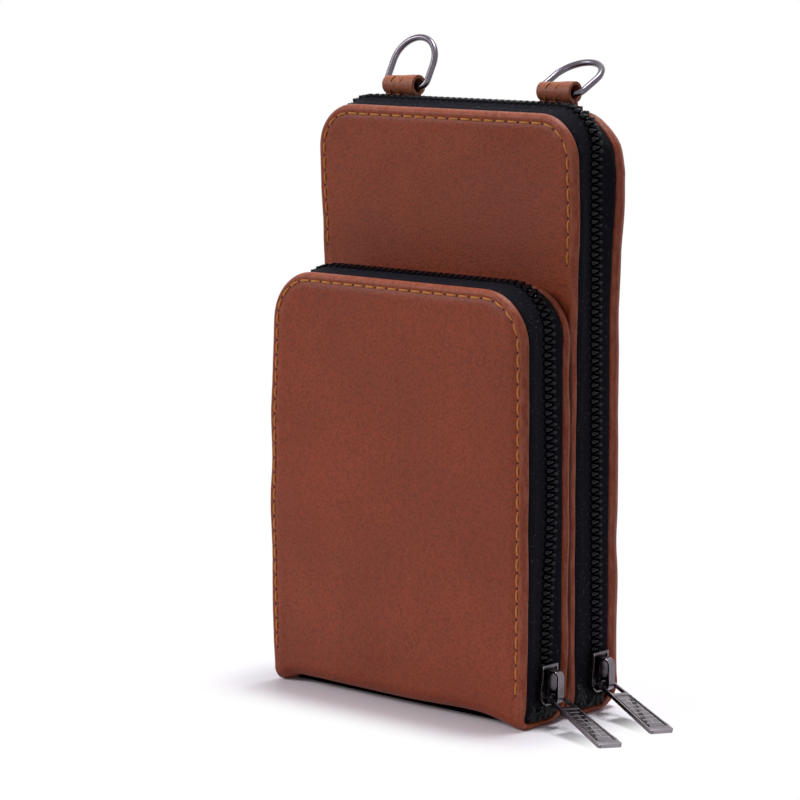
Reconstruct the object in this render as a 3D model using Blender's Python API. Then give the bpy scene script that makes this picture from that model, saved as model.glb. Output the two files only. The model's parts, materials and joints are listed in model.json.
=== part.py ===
"""Shoulder bag of two zipped leather pouches, a short one sewn to the front of a tall one.

Metres, +Z up, +X to the right as seen from the front, -Y to the front. The origin is the
middle of the tall pouch's flat underside. Each pouch has a wall that stays (the two middle
walls, sewn back to back) and a cover that folds down on the leather at its foot once its zip
is run open. The middle walls, the two spines under the pouches and the tapes sewn to them make
one body. The covers, the zip sliders, their pull tabs and the two D-rings move on it.
"""

import math
from dataclasses import dataclass

import bmesh
import bpy
from mathutils import Euler, Vector

# The two pouches, over their leather.
SHORT_WIDTH = 0.105
SHORT_HEIGHT = 0.1335
SHORT_DEPTH = 0.0227
SHORT_CORNER = 0.016
TALL_WIDTH = 0.106
TALL_HEIGHT = 0.185
TALL_DEPTH = 0.0239
TALL_CORNER = 0.0135

# Bend radii of the leather under each pouch, at its front and at its back.
FRONT_BEND = 0.0045
BACK_BEND = 0.009

# Walls: a leather tray with a rolled edge, a stiff board in it and a cloth lining over it.
LEATHER = 0.0012
THIN_WALL = 0.0031
THICK_WALL = 0.0044
RIM_LAND = 0.0002
LINING = 0.0004
SPINE = 0.002

# Running clearance between neighbours, and the gap under a thread.
CLEARANCE = 0.0003
THREAD_GAP = 0.0001

# Sewing thread.
THREAD_RADIUS = 0.00027
STITCH_INSET = 0.0045
STITCH_FOOT = 0.0045

# Zip tape: a flange sewn behind the wall's edge and a side wall that runs to the teeth.
TAPE = 0.0005
TAPE_INSET = 0.0015
TAPE_FLANGE = 0.008
TAPE_RISE = 0.002
COVER_TAPE_DROP = 0.003

# Zip teeth: two rows that mesh in a zigzag.
TEETH_WIDTH = 0.006
TEETH_THICKNESS = 0.0024
TOOTH_PITCH = 0.0025
TOOTH_REACH = 0.0009
TEETH_GAP = 0.00056
CHAIN_FOOT = 0.009

# How far the chain stands clear of the slider's nearest seat by the back wall, low and high.
SHORT_CHAIN_LOW = 0.0014
SHORT_CHAIN_HIGH = 0.0003
TALL_CHAIN_LOW = 0.0001
TALL_CHAIN_HIGH = 0.0022

# Zip slider.
SLIDER_LENGTH = 0.0125
SLIDER_NECK = 0.0074
SLIDER_SHOULDER = 0.009
SLIDER_TIP = 0.0024
SLIDER_PLATE = 0.001
SLIDER_FLANGE = 0.00045
SLIDER_REST = 0.0129
DIAMOND_WIDTH = 0.0022
DIAMOND_LENGTH = 0.0038
JOIN_OVERLAP = 0.0003
SLIDER_Z_SHARES = (0.5, 0.08, -0.18, -0.34, -0.45, -0.5)
DIAMOND_Z_SHARE = -0.25
CHAIN_END_SHARE = -0.03

# Cap on the slider, with the eye that the pull tab hangs in.
CAP_LENGTH = 0.0104
CAP_HEIGHT = 0.0038
CAP_CORE = 0.002
CAP_WIDTH = 0.0033
CHEEK_LENGTH = 0.0062
CHEEK_INSET = 0.0004
CHEEK_RISE = 0.0009
EYE_RADIUS = 0.0013
EYE_HEIGHT = 0.0018
EYE_DROP = 0.0036
CAP_ROUND_SHARE = 0.46

# Pull tab.
TAB_LENGTH = 0.033
TAB_EYE_WIDTH = 0.0058
TAB_TIP_WIDTH = 0.0086
TAB_THICKNESS = 0.0012
TAB_BAR = 0.001
TAB_WINDOW_LENGTH = 0.007
TAB_WINDOW_WIDTH = 0.0042
TAB_CORNER = 0.0009
TAB_ASKEW = math.radians(18)

# Leather loops for the strap, and the D-rings in them.
LOOP_OFFSET = 0.0322
LOOP_WIDTH = 0.0146
LOOP_LEATHER = 0.0011
LOOP_TAIL = 0.0075
LOOP_EASE = 0.001
RING_WIRE = 0.0021
RING_WIDTH = 0.0173
RING_HEIGHT = 0.0165
RING_CORNER = 0.0024
RING_RISE = 0.0055
LEFT_RING_LEAN = math.radians(25)
RIGHT_RING_LEAN = math.radians(59)

# Facets of the round shapes.
CORNER_STEPS = 7
EDGE_STEPS = 4
BEND_STEPS = 6
RING_STEPS = 10
THREAD_RESOLUTION = 0
RING_RESOLUTION = 2
SMOOTH_ANGLE = math.radians(45)

# How far a cutter runs past what it cuts.
CUT_OVERRUN = 0.001


@dataclass(frozen=True)
class Finish:
    """Colour, roughness and metallic value of a material."""

    colour: tuple
    roughness: float
    metallic: float = 0.0


LEATHER_FINISH = Finish((0.235, 0.075, 0.042), 0.45)
BOARD_FINISH = Finish((0.42, 0.34, 0.25), 0.9)
LINING_FINISH = Finish((0.018, 0.018, 0.022), 0.75)
THREAD_FINISH = Finish((0.52, 0.21, 0.035), 0.6)
TAPE_FINISH = Finish((0.008, 0.008, 0.012), 0.85)
TEETH_FINISH = Finish((0.012, 0.012, 0.016), 0.4)
METAL_FINISH = Finish((0.2, 0.185, 0.195), 0.28, 1.0)


@dataclass(frozen=True)
class Wall:
    """One flat wall of a pouch, with its outer face at a Y and looking along facing."""

    name: str
    width: float
    top: float
    corner: float
    bend: float
    face: float
    facing: int
    thickness: float
    moves: bool

    def y(self, depth):
        """Y of a plane that lies a depth inward of the outer face."""
        return self.face - self.facing * depth

    @property
    def inner(self):
        """Y of the inner face of the rolled edge."""
        return self.y(self.thickness)

    @property
    def hinge(self):
        """The line along X, in the middle of the wall's rounded foot, on which it folds."""
        return Vector((0, self.y(self.thickness / 2), self.bend))


@dataclass(frozen=True)
class Pouch:
    """A pouch: its two walls and how far its chain stands off the back wall."""

    name: str
    front: Wall
    back: Wall
    chain_low: float
    chain_high: float

    @property
    def walls(self):
        """Both walls, front first."""
        return (self.front, self.back)

    def chain_y(self, z):
        """Y of the middle of the chain at a height."""
        seat = CLEARANCE + TAPE + SLIDER_SHOULDER / 2 + CLEARANCE
        share = z / self.back.top
        spare = self.chain_low + (self.chain_high - self.chain_low) * share
        return self.back.inner - seat - spare

    @property
    def chain_lean(self):
        """Angle by which the chain leans towards the back, going up."""
        rise = self.back.top
        return math.atan2(self.chain_y(rise) - self.chain_y(0), rise)

    @property
    def chain_x(self):
        """X of the plane in which the chain and the tapes' side walls run."""
        return self.front.width / 2 - TAPE_INSET

    def spine_top(self, y):
        """Height of the inner surface of the spine at a Y."""
        for wall in self.walls:
            reach = abs(y - wall.face)
            if reach < wall.bend:
                inner = wall.bend - SPINE
                across = min(wall.bend - reach, inner)
                return wall.bend - math.sqrt(inner ** 2 - across ** 2)
        return SPINE


@dataclass(frozen=True)
class Station:
    """A point of an arched outline, with its outward direction."""

    x: float
    z: float
    out_x: float
    out_z: float


def corner_station(wall, half, side, angle):
    """A station on a top corner of an outline, at an angle from +X."""
    out_x = math.cos(angle)
    out_z = math.sin(angle)
    x = side * (half - wall.corner) + wall.corner * out_x
    z = wall.top - wall.corner + wall.corner * out_z
    return Station(x, z, out_x, out_z)


def arch(wall, bottom):
    """Stations up one side of a wall's outline, round its top and down the other side."""
    half = wall.width / 2
    stations = [Station(-half, bottom, -1, 0)]
    for side, start in ((-1, math.pi), (1, math.pi / 2)):
        for step in range(CORNER_STEPS + 1):
            angle = start - math.pi / 2 * step / CORNER_STEPS
            stations.append(corner_station(wall, half, side, angle))
    stations.append(Station(half, bottom, 1, 0))
    return stations


def inset_point(station, inset, y, rise=0.0):
    """A point inward of a station by inset, moved out again by rise where the outline faces up."""
    move = inset - rise * max(station.out_z, 0)
    return Vector((station.x - station.out_x * move, y, station.z - station.out_z * move))


def outline_ring(wall, inset, y):
    """The closed outline of a wall, moved inward by inset all round."""
    bottom = wall.bend - wall.thickness / 2 + inset
    return [inset_point(station, inset, y) for station in arch(wall, bottom)]


def loft(rings):
    """A closed bmesh through rings of equally many points, with a face over each end."""
    shape = bmesh.new()
    layers = [[shape.verts.new(point) for point in ring] for ring in rings]
    for lower, upper in zip(layers, layers[1:]):
        count = len(lower)
        for index in range(count):
            after = (index + 1) % count
            shape.faces.new((lower[index], lower[after], upper[after], upper[index]))
    shape.faces.new(layers[0])
    shape.faces.new(layers[-1])
    bmesh.ops.recalc_face_normals(shape, faces=shape.faces)
    return shape


def prism(profile, low, high, axis):
    """A closed bmesh that extrudes a profile of (a, b) pairs along an axis, X, Y or Z."""
    place = "XYZ".index(axis)
    rings = []
    for level in (low, high):
        ring = []
        for pair in profile:
            point = list(pair)
            point.insert(place, level)
            ring.append(Vector(point))
        rings.append(ring)
    return loft(rings)


def add_mesh(name, shape, finish, smooth_angle=None):
    """Add a bmesh to the scene as a named object with its own material."""
    mesh = bpy.data.meshes.new(name)
    shape.to_mesh(mesh)
    shape.free()
    if smooth_angle is not None:
        mesh.shade_smooth()
        mesh.set_sharp_from_angle(angle=smooth_angle)
    return add_object(name, mesh, finish)


def add_object(name, data, finish):
    """Link an object and give it a material of its own."""
    piece = bpy.data.objects.new(name, data)
    bpy.context.collection.objects.link(piece)
    material = bpy.data.materials.new(name)
    material.use_nodes = True
    shader = material.node_tree.nodes["Principled BSDF"]
    shader.inputs["Base Color"].default_value = (*finish.colour, 1)
    shader.inputs["Roughness"].default_value = finish.roughness
    shader.inputs["Metallic"].default_value = finish.metallic
    data.materials.append(material)
    return piece


def add_pivot(name, location, lean=0.0, parent=None):
    """An empty on a joint's axis, which carries the pieces that turn or slide there."""
    pivot = bpy.data.objects.new(name, None)
    pivot.location = location
    pivot.rotation_euler = (lean, 0, 0)
    pivot.parent = parent
    bpy.context.collection.objects.link(pivot)
    return pivot


def carry(piece, pivot):
    """Hang a piece that is modelled in the bag's frame on an unturned pivot."""
    if pivot is not None:
        piece.parent = pivot
        piece.location = -pivot.location
    return piece


def add_tube(name, points, radius, finish, resolution, cyclic=False):
    """A round wire or thread along points."""
    curve = bpy.data.curves.new(name, "CURVE")
    curve.dimensions = "3D"
    curve.bevel_depth = radius
    curve.bevel_resolution = resolution
    curve.use_fill_caps = not cyclic
    spline = curve.splines.new("POLY")
    spline.points.add(len(points) - 1)
    for target, point in zip(spline.points, points):
        target.co = (*point, 1)
    spline.use_cyclic_u = cyclic
    return add_object(name, curve, finish)


def add_cutter(name, shape):
    """A hidden solid that other pieces are cut or joined with."""
    mesh = bpy.data.meshes.new(name)
    shape.to_mesh(mesh)
    shape.free()
    cutter = bpy.data.objects.new(name, mesh)
    cutter.hide_render = True
    cutter.display_type = "WIRE"
    bpy.context.collection.objects.link(cutter)
    return cutter


def combine(piece, other, operation):
    """Cut a piece with another solid, or join that solid to it."""
    modifier = piece.modifiers.new(other.name, "BOOLEAN")
    modifier.operation = operation
    modifier.solver = "EXACT"
    modifier.object = other


def edge_roll(thickness):
    """Inset and depth pairs round the rolled edge of a wall, from its outer to its inner face."""
    radius = thickness / 2
    pairs = []
    for step in range(2 * EDGE_STEPS + 1):
        angle = math.pi * step / (2 * EDGE_STEPS)
        pairs.append((radius - radius * math.sin(angle), radius - radius * math.cos(angle)))
    return pairs


def add_leather(wall, pivot):
    """The leather of a wall: a tray with a rolled edge, open towards the inside."""
    rim = wall.thickness / 2 + RIM_LAND
    pairs = edge_roll(wall.thickness)
    pairs.append((rim, wall.thickness))
    pairs.append((rim, LEATHER))
    rings = [outline_ring(wall, inset, wall.y(depth)) for inset, depth in pairs]
    leather = add_mesh(f"{wall.name}_leather", loft(rings), LEATHER_FINISH, SMOOTH_ANGLE)
    return carry(leather, pivot)


def add_plate(name, wall, inset, bottom, depth, thickness, finish, pivot):
    """A flat sheet that follows a wall's outline."""
    rings = []
    for level in (depth, depth + thickness):
        y = wall.y(level)
        rings.append([inset_point(station, inset, y) for station in arch(wall, bottom)])
    return carry(add_mesh(name, loft(rings), finish), pivot)


def add_board(wall, pivot):
    """The stiff board that lies in a wall's leather tray."""
    inset = wall.thickness / 2 + RIM_LAND + CLEARANCE
    bottom = wall.bend - wall.thickness / 2 + inset
    depth = LEATHER + CLEARANCE
    thickness = wall.thickness - depth - CLEARANCE
    name = f"{wall.name}_board"
    return add_plate(name, wall, inset, bottom, depth, thickness, BOARD_FINISH, pivot)


def add_lining(wall, pivot):
    """The cloth inside a wall, laid over the sewn flange of the tape."""
    inset = STITCH_INSET + 2 * THREAD_RADIUS + CLEARANCE
    depth = wall.thickness + CLEARANCE + TAPE + CLEARANCE
    name = f"{wall.name}_lining"
    return add_plate(name, wall, inset, wall.bend, depth, LINING, LINING_FINISH, pivot)


def add_tape(pouch, wall, pivot):
    """Half of the zip tape: the flange behind the wall's edge and the side wall to the teeth."""
    inward = -wall.facing
    root = wall.inner + inward * CLEARANCE
    toward = -inward * (TEETH_WIDTH / 2 + CLEARANCE)
    outer = TAPE_INSET - TAPE / 2
    inner = TAPE_INSET + TAPE / 2
    flange = outer + TAPE_FLANGE
    behind = root + inward * TAPE
    low = pouch.spine_top(root) + CLEARANCE
    edge_low = pouch.spine_top(pouch.chain_y(0) + toward) + CLEARANCE
    if wall.moves:
        low = wall.bend
        edge_low = max(edge_low, wall.bend - COVER_TAPE_DROP)
    rings = []
    for index, station in enumerate(arch(wall, 0)):
        edge = pouch.chain_y(station.z) + toward
        section = [
            inset_point(station, outer, root),
            inset_point(station, outer, edge, TAPE_RISE),
            inset_point(station, inner, edge, TAPE_RISE),
            inset_point(station, inner, behind),
            inset_point(station, flange, behind),
            inset_point(station, flange, root),
        ]
        if index == 0 or index == 2 * CORNER_STEPS + 3:
            for place, height in enumerate((low, edge_low, edge_low, low, low, low)):
                section[place].z = height
        rings.append(section)
    return carry(add_mesh(f"{wall.name}_tape", loft(rings), TAPE_FINISH), pivot)


def chain_runs(pouch):
    """Runs of stations along the chain, half a pitch apart, left side first."""
    wall = pouch.back
    half = pouch.front.width / 2
    spring = wall.top - wall.corner
    slider_end = SLIDER_REST + CHAIN_END_SHARE * SLIDER_LENGTH
    arc = math.pi / 2 * (wall.corner - TAPE_INSET + TAPE_RISE / 2)
    flat = half - wall.corner
    lengths = (spring - CHAIN_FOOT, arc, 2 * flat, arc, spring - slider_end)
    runs = []
    for order, length in enumerate(lengths):
        count = max(2, round(length / (TOOTH_PITCH / 2)))
        run = []
        for step in range(count + 1):
            share = step / count
            angle = math.pi / 2 * share
            if order == 0:
                run.append(Station(-half, CHAIN_FOOT + (spring - CHAIN_FOOT) * share, -1, 0))
            elif order == 1:
                run.append(corner_station(wall, half, -1, math.pi - angle))
            elif order == 2:
                run.append(Station(-flat + 2 * flat * share, wall.top, 0, 1))
            elif order == 3:
                run.append(corner_station(wall, half, 1, math.pi / 2 - angle))
            else:
                run.append(Station(half, spring + (slider_end - spring) * share, 1, 0))
        runs.append(run)
    return runs


def tooth_pair(shape, station, y):
    """The outer and inner vertex of a row of teeth at a station."""
    levels = (TAPE_INSET - TEETH_THICKNESS / 2, TAPE_INSET + TEETH_THICKNESS / 2)
    return [shape.verts.new(inset_point(station, level, y, TAPE_RISE)) for level in levels]


def add_teeth(pouch, wall, pivot):
    """One row of zip teeth, a strip whose free edge zigzags between the other row's teeth."""
    toward = wall.facing
    shape = bmesh.new()
    free = []
    back = []
    for order, run in enumerate(chain_runs(pouch)):
        curved = order in (1, 3)
        for step, station in enumerate(run):
            ends = step in (0, len(run) - 1)
            if order > 0 and step == 0:
                continue
            middle = pouch.chain_y(station.z)
            swing = TOOTH_REACH if len(free) % 2 == 0 else -TOOTH_REACH
            free.append(tooth_pair(shape, station, middle + swing + toward * TEETH_GAP / 2))
            if curved or ends:
                pair = tooth_pair(shape, station, middle + toward * TEETH_WIDTH / 2)
                back.append((len(free) - 1, pair))
    for (first, start), (last, end) in zip(back, back[1:]):
        for level in (0, 1):
            edge = [pair[level] for pair in free[first:last + 1]]
            shape.faces.new([start[level], *edge, end[level]])
        shape.faces.new((start[0], start[1], end[1], end[0]))
    for start, end in zip(free, free[1:]):
        shape.faces.new((start[0], start[1], end[1], end[0]))
    for pair, (index, base) in ((free[0], back[0]), (free[-1], back[-1])):
        shape.faces.new((pair[0], pair[1], base[1], base[0]))
    bmesh.ops.recalc_face_normals(shape, faces=shape.faces)
    return carry(add_mesh(f"{wall.name}_teeth", shape, TEETH_FINISH), pivot)


def add_thread(wall, y, bottom, pivot):
    """The sewing thread round three sides of a wall, in a plane at y."""
    points = [inset_point(station, STITCH_INSET, y) for station in arch(wall, bottom)]
    name = f"{wall.name}_thread"
    thread = add_tube(name, points, THREAD_RADIUS, THREAD_FINISH, THREAD_RESOLUTION)
    return carry(thread, pivot)


def outside_thread_y(wall):
    """Y of a thread that lies on a wall's outer face."""
    return wall.face + wall.facing * (THREAD_GAP + THREAD_RADIUS)


def inside_thread_y(wall):
    """Y of a thread that lies on the tape's flange inside a pouch."""
    return wall.y(wall.thickness + CLEARANCE + TAPE + THREAD_GAP + THREAD_RADIUS)


def bend_angle(wall, radius):
    """Angle below level at which a bend's surface comes clear of the wall's foot.

    Beside the foot that is the foot's round. Outside the hinge of a wall that folds, it is the
    height down to which the wall's outer face comes.
    """
    across = wall.bend - wall.thickness / 2
    reach = wall.thickness / 2 + CLEARANCE
    cosine = (across ** 2 + radius ** 2 - reach ** 2) / (2 * across * radius)
    angle = math.acos(max(min(cosine, 1), -1))
    if wall.moves and radius * math.cos(angle) > across:
        angle = math.asin(reach / radius)
    return angle


def bend_points(wall, radius):
    """Points (y, z) on a bend under a wall, from the wall's foot down to the flat."""
    start = bend_angle(wall, radius)
    points = []
    for step in range(BEND_STEPS + 1):
        angle = start + (math.pi / 2 - start) * step / BEND_STEPS
        y = wall.y(wall.bend - radius * math.cos(angle))
        points.append((y, wall.bend - radius * math.sin(angle)))
    return points


def foot_points(wall):
    """Points (y, z) round the clearance under a wall's rounded foot, outer end first."""
    reach = wall.thickness / 2 + CLEARANCE
    middle = wall.thickness / 2
    angles = []
    for radius in (wall.bend, wall.bend - SPINE):
        turn = bend_angle(wall, radius)
        across = wall.bend - radius * math.cos(turn) - middle
        angles.append(math.atan2(-radius * math.sin(turn), across))
    if wall.moves:
        angles[0] = -math.pi / 2
    points = []
    for step in range(0 if wall.moves else 1, EDGE_STEPS):
        angle = angles[0] + (angles[1] - angles[0]) * step / EDGE_STEPS
        y = wall.y(middle + reach * math.cos(angle))
        points.append((y, wall.bend + reach * math.sin(angle)))
    return points


def add_spine(pouch):
    """The leather under a pouch, bent up to the feet of both walls."""
    front, back = pouch.walls
    profile = bend_points(front, front.bend)
    profile += reversed(bend_points(back, back.bend))
    profile += foot_points(back)
    profile += bend_points(back, back.bend - SPINE)
    profile += reversed(bend_points(front, front.bend - SPINE))
    profile += reversed(foot_points(front))
    half = front.width / 2
    spine = prism(profile, -half, half, "X")
    return add_mesh(f"{pouch.name}_spine", spine, LEATHER_FINISH, SMOOTH_ANGLE)


def slider_half(side):
    """The outer or inner plate of a slider with the two flanges that grip the chain."""
    channel = TEETH_THICKNESS / 2 + CLEARANCE
    slot = TAPE / 2 + CLEARANCE
    outside = channel + SLIDER_PLATE
    neck = SLIDER_NECK / 2
    shoulder = SLIDER_SHOULDER / 2
    tip = SLIDER_TIP / 2
    waist = (shoulder + tip) / 2
    widths = (neck, neck, shoulder, shoulder, waist, tip)
    rings = []
    for share, half in zip(SLIDER_Z_SHARES, widths):
        z = share * SLIDER_LENGTH
        grip = min(SLIDER_FLANGE, half / 2)
        section = (
            (outside, -half), (outside, half), (slot, half), (slot, half - grip),
            (channel, half - grip), (channel, grip - half), (slot, grip - half), (slot, -half),
        )
        rings.append([Vector((side * x, y, z)) for x, y in section])
    return loft(rings)


def add_slider(pouch, pivot):
    """The slider's body: two plates joined by the wedge that parts the rows of teeth."""
    channel = TEETH_THICKNESS / 2 + CLEARANCE
    body = add_mesh(f"{pouch.name}_slider_body", slider_half(1), METAL_FINISH)
    body.parent = pivot
    plate = add_cutter(f"{pouch.name}_slider_inner", slider_half(-1))
    plate.parent = pivot
    middle = DIAMOND_Z_SHARE * SLIDER_LENGTH
    reach = channel + JOIN_OVERLAP
    wedge = [
        (0, middle + DIAMOND_LENGTH / 2), (DIAMOND_WIDTH / 2, middle),
        (0, middle - DIAMOND_LENGTH / 2), (-DIAMOND_WIDTH / 2, middle),
    ]
    diamond = add_cutter(f"{pouch.name}_slider_wedge", prism(wedge, -reach, reach, "X"))
    diamond.parent = pivot
    combine(body, diamond, "UNION")
    combine(body, plate, "UNION")
    return body


def rounded_profile(low_x, high_x, low_z, high_z, radius):
    """A rectangle as (x, z) points, with its two corners at high X rounded."""
    points = [(low_x, low_z)]
    for centre_z, start in ((low_z + radius, -math.pi / 2), (high_z - radius, 0)):
        for step in range(EDGE_STEPS + 1):
            angle = start + math.pi / 2 * step / EDGE_STEPS
            x = high_x - radius + radius * math.cos(angle)
            points.append((x, centre_z + radius * math.sin(angle)))
    points.append((low_x, high_z))
    return points


def slider_face():
    """Distance from the chain's middle plane to the outer face of a slider's plate."""
    return TEETH_THICKNESS / 2 + CLEARANCE + SLIDER_PLATE


def add_cap(pouch, pivot):
    """The cap over the slider, with cheeks on its sides and an eye for the tab at its foot."""
    base = slider_face() + CLEARANCE
    top = slider_face() + CAP_HEIGHT
    high = CAP_LENGTH / 2 - CHEEK_INSET
    low = high - CAP_LENGTH
    core = rounded_profile(base, top, low, high, CAP_HEIGHT * CAP_ROUND_SHARE)
    block = prism(core, -CAP_CORE / 2, CAP_CORE / 2, "Y")
    cap = add_mesh(f"{pouch.name}_slider_cap", block, METAL_FINISH)
    cap.parent = pivot
    cheek_high = high - CHEEK_INSET
    cheek = rounded_profile(
        base + CHEEK_INSET, top - CHEEK_INSET, cheek_high - CHEEK_LENGTH, cheek_high, CHEEK_RISE
    )
    wide = prism(cheek, -CAP_WIDTH / 2, CAP_WIDTH / 2, "Y")
    cheeks = add_cutter(f"{pouch.name}_cap_cheeks", wide)
    cheeks.parent = pivot
    combine(cap, cheeks, "UNION")
    eye = []
    for step in range(2 * RING_STEPS):
        angle = math.pi * step / RING_STEPS
        x = slider_face() + EYE_HEIGHT + EYE_RADIUS * math.cos(angle)
        eye.append((x, EYE_RADIUS * math.sin(angle) - EYE_DROP))
    reach = CAP_WIDTH / 2 + CUT_OVERRUN
    hole = add_cutter(f"{pouch.name}_cap_eye", prism(eye, -reach, reach, "Y"))
    hole.parent = pivot
    combine(cap, hole, "DIFFERENCE")
    return cap


def tab_slope():
    """Widening of half the tab's width per length."""
    return (TAB_TIP_WIDTH - TAB_EYE_WIDTH) / 2 / TAB_LENGTH


def tab_profile():
    """The tab's outline as (x, y) points, from its bar at the pivot to its rounded tip."""
    start = -TAB_BAR / 2
    end = start + TAB_LENGTH
    half = TAB_EYE_WIDTH / 2
    tip = TAB_TIP_WIDTH / 2
    points = [(start, half), (start, -half)]
    for side, first in ((-1, -math.pi / 2), (1, 0)):
        for step in range(EDGE_STEPS + 1):
            angle = first + math.pi / 2 * step / EDGE_STEPS
            x = end - TAB_CORNER + TAB_CORNER * math.cos(angle)
            points.append((x, side * (tip - TAB_CORNER) + TAB_CORNER * math.sin(angle)))
    return points


def add_tab(pouch, slider_pivot):
    """The pull tab, hung by its bar in the eye of the cap, askew, with its tip on the floor."""
    place = Vector((slider_face() + EYE_HEIGHT, 0, -EYE_DROP))
    pivot = add_pivot(f"{pouch.name}_tab_pivot", place, parent=slider_pivot)
    half = TAB_THICKNESS / 2
    tab = add_mesh(f"{pouch.name}_pull_tab", prism(tab_profile(), -half, half, "Z"), METAL_FINISH)
    start = TAB_BAR / 2
    end = start + TAB_WINDOW_LENGTH
    near = TAB_WINDOW_WIDTH / 2
    far = near + TAB_WINDOW_LENGTH * tab_slope()
    window = [(start, near), (start, -near), (end, -far), (end, far)]
    deep = half + CUT_OVERRUN
    cut = add_cutter(f"{pouch.name}_tab_window", prism(window, -deep, deep, "Z"))
    combine(tab, cut, "DIFFERENCE")
    height = SLIDER_REST - EYE_DROP - CLEARANCE
    reach = (TAB_LENGTH - TAB_BAR / 2) * math.cos(TAB_ASKEW)
    reach += (TAB_TIP_WIDTH / 2 - TAB_CORNER) * math.sin(TAB_ASKEW)
    pitch = math.asin(height / math.hypot(reach, half)) - math.atan2(half, reach)
    turn = Euler((0, 0, -TAB_ASKEW)).to_matrix()
    turn.rotate(Euler((0, pitch, 0)))
    for piece in (tab, cut):
        piece.parent = pivot
        piece.rotation_euler = turn.to_euler()
    return tab


def loop_middle(pouch):
    """Y and z of the bar that a D-ring turns on, inside its leather loop."""
    wall = pouch.back
    y = wall.inner - CLEARANCE - LOOP_LEATHER - CLEARANCE / 2
    return y, wall.top + RING_RISE


def loop_profile(pouch):
    """The loop's leather as (y, z) points: a barrel round the bar and two tails side by side."""
    y, z = loop_middle(pouch)
    inner = RING_WIRE / 2 + LOOP_EASE
    outer = inner + LOOP_LEATHER
    foot = pouch.back.top - LOOP_TAIL
    slit = CLEARANCE / 2
    tail = slit + LOOP_LEATHER
    points = [(y + slit, foot), (y + tail, foot)]
    for radius, offset, forward in ((outer, tail, True), (inner, slit, False)):
        begin = -math.acos(offset / radius)
        sweep = math.pi - 2 * begin
        arc = []
        for step in range(2 * RING_STEPS + 1):
            angle = begin + sweep * step / (2 * RING_STEPS)
            arc.append((y + radius * math.cos(angle), z + radius * math.sin(angle)))
        if forward:
            points += arc
            points += [(y - tail, foot), (y - slit, foot)]
        else:
            points += reversed(arc)
    return points


def add_loop(pouch, side, name, pivot):
    """A leather strap end folded round the bar of a D-ring and sewn in behind the back wall."""
    middle = side * LOOP_OFFSET
    low = middle - LOOP_WIDTH / 2
    shape = prism(loop_profile(pouch), low, low + LOOP_WIDTH, "X")
    return carry(add_mesh(name, shape, LEATHER_FINISH, SMOOTH_ANGLE), pivot)


def cut_loop_pocket(pouch, side, pieces, pivot):
    """Let a loop's tails in between the back wall and what is sewn inside it."""
    wall = pouch.back
    middle = side * LOOP_OFFSET
    half = LOOP_WIDTH / 2 + CLEARANCE
    back = wall.inner
    front = back - 2 * LOOP_LEATHER - 3 * CLEARANCE
    low = wall.top - LOOP_TAIL - CLEARANCE
    high = wall.top + TAPE_RISE
    profile = [(front, low), (back, low), (back, high), (front, high)]
    box = prism(profile, middle - half, middle + half, "X")
    pocket = carry(add_cutter(f"loop_pocket_{'right' if side > 0 else 'left'}", box), pivot)
    for piece in pieces:
        combine(piece, pocket, "DIFFERENCE")


def ring_points():
    """The middle line of a D-ring's wire, its bar through the origin along X."""
    half = RING_WIDTH / 2
    points = []
    for side, first in ((1, -math.pi / 2), (-1, math.pi)):
        corner = []
        for step in range(EDGE_STEPS + 1):
            angle = first + math.pi / 2 * step / EDGE_STEPS
            x = side * (half - RING_CORNER) + RING_CORNER * math.cos(angle)
            corner.append(Vector((x, 0, RING_CORNER + RING_CORNER * math.sin(angle))))
        points += corner
        if side > 0:
            spring = RING_HEIGHT - half
            for step in range(2 * RING_STEPS + 1):
                angle = math.pi * step / (2 * RING_STEPS)
                points.append(Vector((half * math.cos(angle), 0, spring + half * math.sin(angle))))
    return points


def add_ring(pouch, side, name, lean, pivot):
    """A D-ring in its loop, leaning back."""
    y, z = loop_middle(pouch)
    axis = Vector((side * LOOP_OFFSET, y, z))
    holder = add_pivot(f"{name}_pivot", axis - pivot.location, parent=pivot)
    ring = add_tube(name, ring_points(), RING_WIRE / 2, METAL_FINISH, RING_RESOLUTION, cyclic=True)
    ring.parent = holder
    ring.rotation_euler = (-lean, 0, 0)
    return ring


def make_pouches():
    """Both pouches, the short one standing in front of the tall one."""
    tall_face = -TALL_DEPTH / 2
    short_back = tall_face - CLEARANCE
    short = Pouch(
        "short",
        Wall("short_front", SHORT_WIDTH, SHORT_HEIGHT, SHORT_CORNER, FRONT_BEND,
             short_back - SHORT_DEPTH, -1, THIN_WALL, True),
        Wall("short_back", SHORT_WIDTH, SHORT_HEIGHT, SHORT_CORNER, BACK_BEND,
             short_back, 1, THIN_WALL, False),
        SHORT_CHAIN_LOW, SHORT_CHAIN_HIGH,
    )
    tall = Pouch(
        "tall",
        Wall("tall_front", TALL_WIDTH, TALL_HEIGHT, TALL_CORNER, FRONT_BEND,
             tall_face, -1, THIN_WALL, False),
        Wall("tall_back", TALL_WIDTH, TALL_HEIGHT, TALL_CORNER, BACK_BEND,
             tall_face + TALL_DEPTH, 1, THICK_WALL, True),
        TALL_CHAIN_LOW, TALL_CHAIN_HIGH,
    )
    return short, tall


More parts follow.
